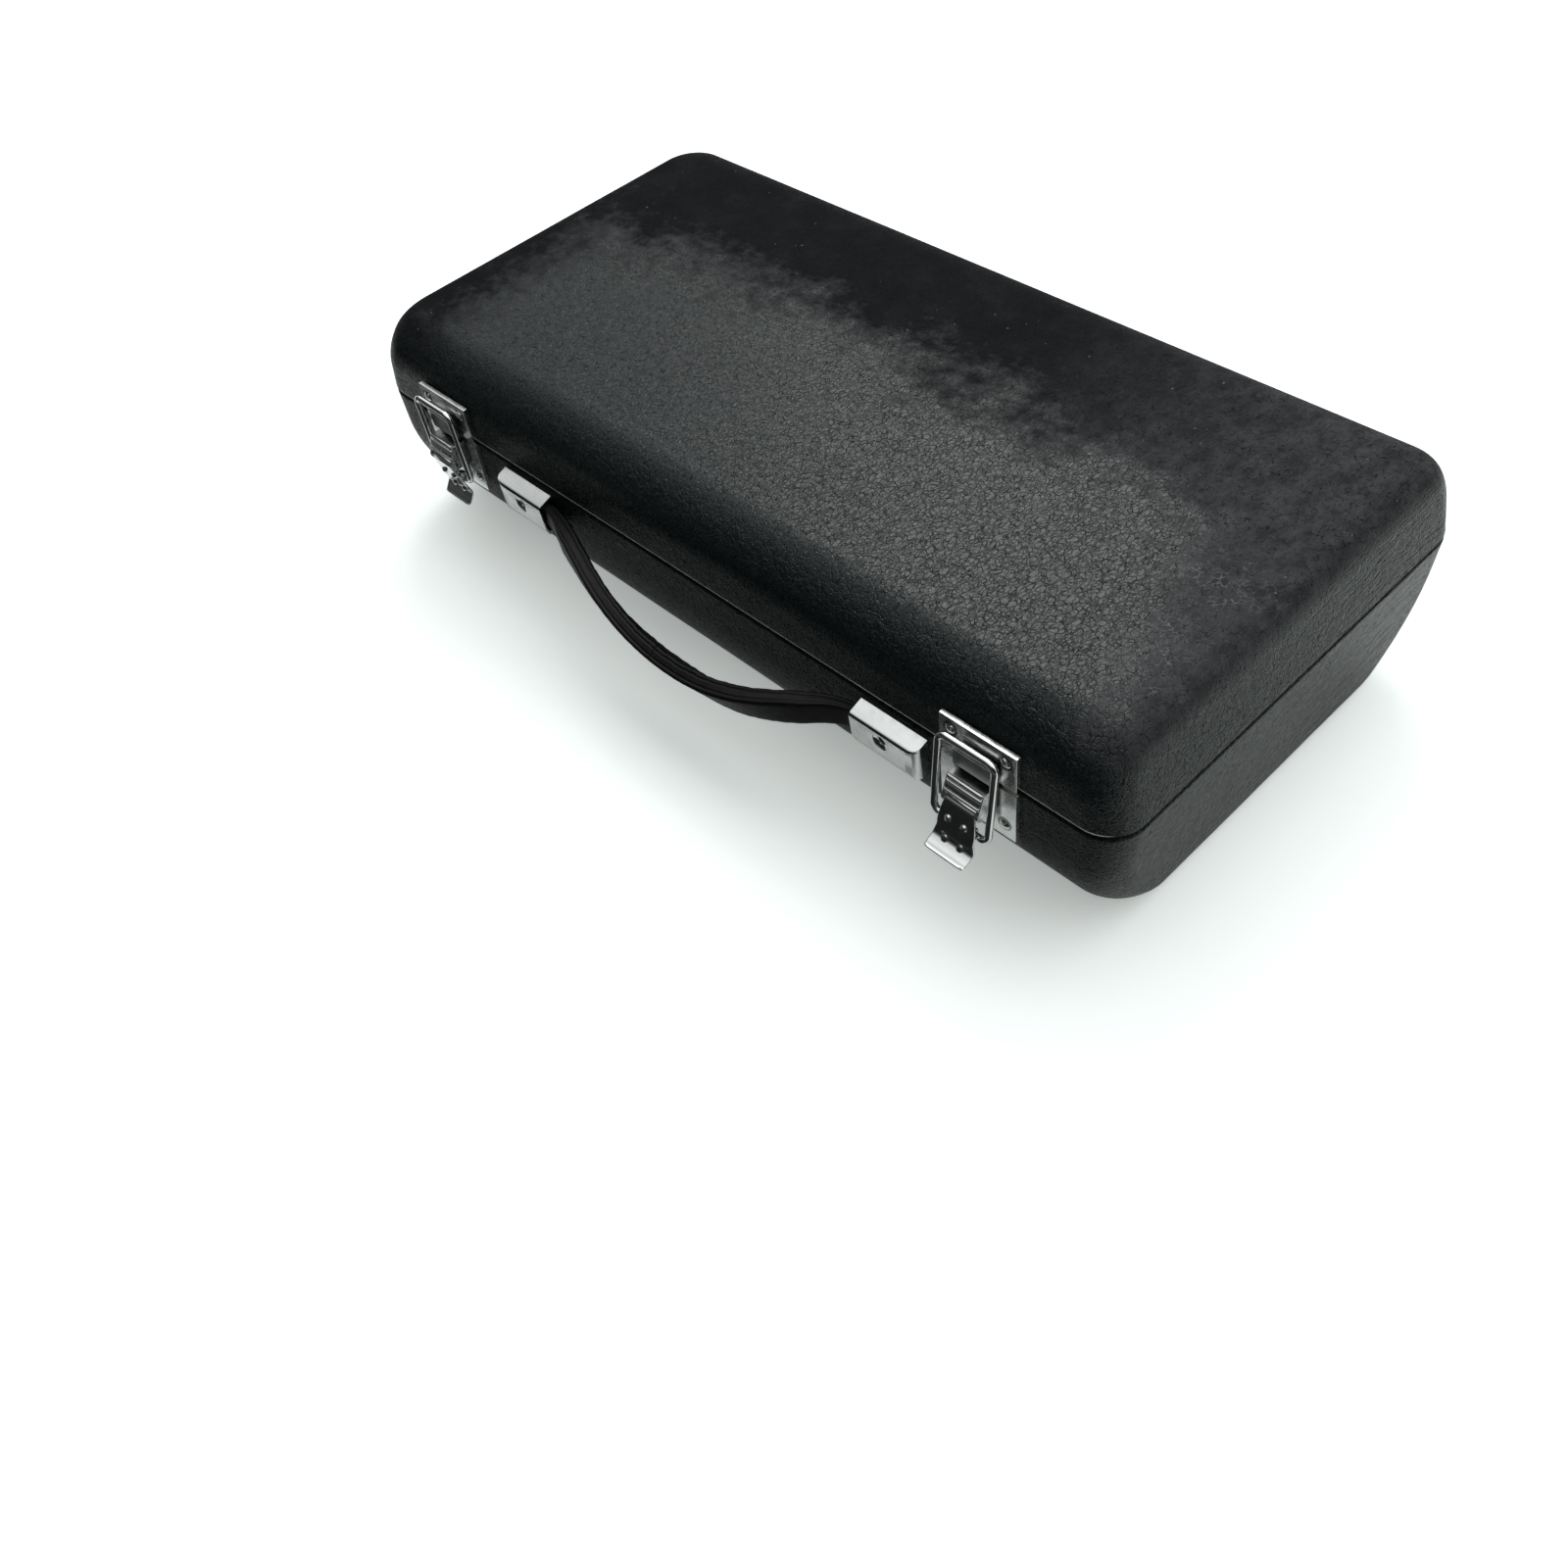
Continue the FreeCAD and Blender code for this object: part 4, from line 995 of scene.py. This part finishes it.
def floor_material():
    """White floor that keeps the shadow; the camera and reflections see it a little lifted."""
    made, tree, shader = material_tree("floor")
    shader.inputs["Base Color"].default_value = FLOOR_COLOUR
    shader.inputs["Roughness"].default_value = 0.75
    shader.inputs["Specular IOR Level"].default_value = 0.2
    rays = add(tree, "LightPath").outputs
    mirrored = maths(tree, "MAXIMUM", rays["Is Glossy Ray"], rays["Is Transmission Ray"])
    lift = weighted(tree, (rays["Is Camera Ray"], FLOOR_LIFT), (mirrored, FLOOR_LIFT_MIRRORED))
    shader.inputs["Emission Color"].default_value = FLOOR_GLOW
    feed(tree, shader, Emission_Strength=lift)
    return made


# Build

hide = leatherette()
metal = chrome("chrome", 0.05, 0.16)
satin = chrome("chrome_satin", 0.17, 0.30)
cap_metal = chrome("chrome_cap", 0.17, 0.30, bend=CAP_BEND)
# The plate and keeper take painted shade inside the loop and round the rivets.
plate_metal = chrome("chrome_plate", 0.17, 0.30, shaded_loop=True)
keeper_metal = chrome("chrome_keeper", 0.12, 0.26, hook_rough=0.36, shaded_loop=True)
strap_hide = strap_leather()
pile = plush()
board = plain_grain("shell_board", BOARD_DARK, BOARD_LIGHT, (0.15, 1.2, 1.2), 0.6, 0.85)
binding = plain_grain("rim_binding", BINDING_DARK, BINDING_LIGHT, (0.4, 0.4, 2.0), 0.45, 0.7)

place(make_lid_cover(hide), "lid", "leatherette", "lid_cover")
place(make_base_cover(hide), "base", "leatherette", "base_cover")
place(make_bottom_cover(hide), "base", "leatherette", "bottom_cover")
lining = place(make_lining(pile), "lid", "plush", "lid_lining")
tray = place(make_tray(pile), "base", "plush", "fitted_tray")
for side in LATCH_X:
    make_pressed("handle_cap_" + side, "cap_" + side, cap_metal, CAP_BEVEL)
    place(make_hook_bead(side, metal), "lid", "chrome")
    place(make_bracket_face(side, satin), "base", "chrome")
    lever = make_lever(side, metal)
    place(lever, "latch_%s_lever" % side, "chrome", "latch_lever_" + side)
    half = make_strap(side, strap_hide)
    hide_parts("handle_strap")
    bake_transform(half)

make_pressed("handle_rivets", "cap_rivets", metal, RIVET_BEVEL)

for name in node:
    if node[name].hide_render:
        continue
    if name.endswith("_shell"):
        finish = board
    elif name == "rim_strip":
        finish = binding
    elif name.startswith("latch_keeper_") and name != "latch_keeper_rivets":
        finish = keeper_metal
    elif name.startswith("latch_plate_") and name != "latch_plate_rivets":
        finish = plate_metal
    else:
        finish = metal
    node[name].data.materials.clear()
    node[name].data.materials.append(finish)
    if finish in (metal, plate_metal, keeper_metal):
        fine = "rivets" in name or "pin" in name
        bevel_edges(node[name], CAD_FINE_BEVEL if fine else CAD_BEVEL)

# Stage
floor_mesh = bpy.data.meshes.new("floor")
floor_corners = [(FLOOR_HALF * sx, FLOOR_HALF * sy, 0)
                 for sx, sy in ((-1, -1), (1, -1), (1, 1), (-1, 1))]
floor_mesh.from_pydata(floor_corners, [], [(0, 1, 2, 3)])
floor_mesh.materials.append(floor_material())
floor = bpy.data.objects.new("floor", floor_mesh)
bpy.context.scene.collection.objects.link(floor)

# Dark rounded card in front of the case, seen only in reflections
card_angles = [math.radians(180 * i / CARD_STEPS) for i in range(CARD_STEPS + 1)]
card_points = [(x, CARD_Y + CARD_RADIUS * math.cos(a), CARD_HEIGHT * math.sin(a))
               for x in CARD_ENDS for a in card_angles]
card_faces = [(i, i + 1, i + CARD_STEPS + 2, i + CARD_STEPS + 1) for i in range(CARD_STEPS)]
card_tone, _, card_shader = material_tree("dark_card")
card_shader.inputs["Base Color"].default_value = CARD_COLOUR
card_shader.inputs["Roughness"].default_value = 0.6
card = mesh_object("dark_card", card_points, card_faces, card_tone)
for ray in ("camera", "diffuse", "shadow", "transmission"):
    setattr(card, "visible_" + ray, False)

world = bpy.data.worlds.new("studio")
bpy.context.scene.world = world
world.use_nodes = True
sky = world.node_tree
# Sky: pale behind the case and overhead, dark in front
where = add(sky, "TexCoord").outputs["Generated"]
sky_x, sky_y, sky_z = add(sky, "SeparateXYZ", {0: where}).outputs
backwards = product(sky, remap(sky, sky_y, *SKY_BACK_Y), remap(sky, sky_z, *SKY_BACK_Z))
leftwards = remap(sky, sky_x, *SKY_LEFT_X)
upwards = remap(sky, total(sky, sky_z, leftwards), *SKY_UP_Z)
level = maths(sky, "MAXIMUM", backwards, upwards)
background = sky.nodes["Background"]
sky.links.new(level, background.inputs["Strength"])
background.inputs["Color"].default_value = SKY_COLOUR

lamp = bpy.data.lights.new("overhead", "AREA")
lamp.shape = "RECTANGLE"
lamp.size = lamp.size_y = LAMP_SIZE
lamp.energy = LAMP_POWER
lamp_object = bpy.data.objects.new("overhead", lamp)
lamp_object.location = LAMP_AT
lamp_object.rotation_euler = (-LAMP_AT).to_track_quat("-Z", "Y").to_euler()
bpy.context.scene.collection.objects.link(lamp_object)

camera = bpy.data.cameras.new("photo_view")
camera.lens = CAMERA_LENS
camera.sensor_width = CAMERA_SENSOR
camera_object = bpy.data.objects.new("photo_view", camera)
camera_object.location = CAMERA_AT
camera_object.rotation_euler = CAMERA_TURN
bpy.context.scene.collection.objects.link(camera_object)
bpy.context.scene.camera = camera_object
bpy.context.scene.view_settings.view_transform = "Standard"
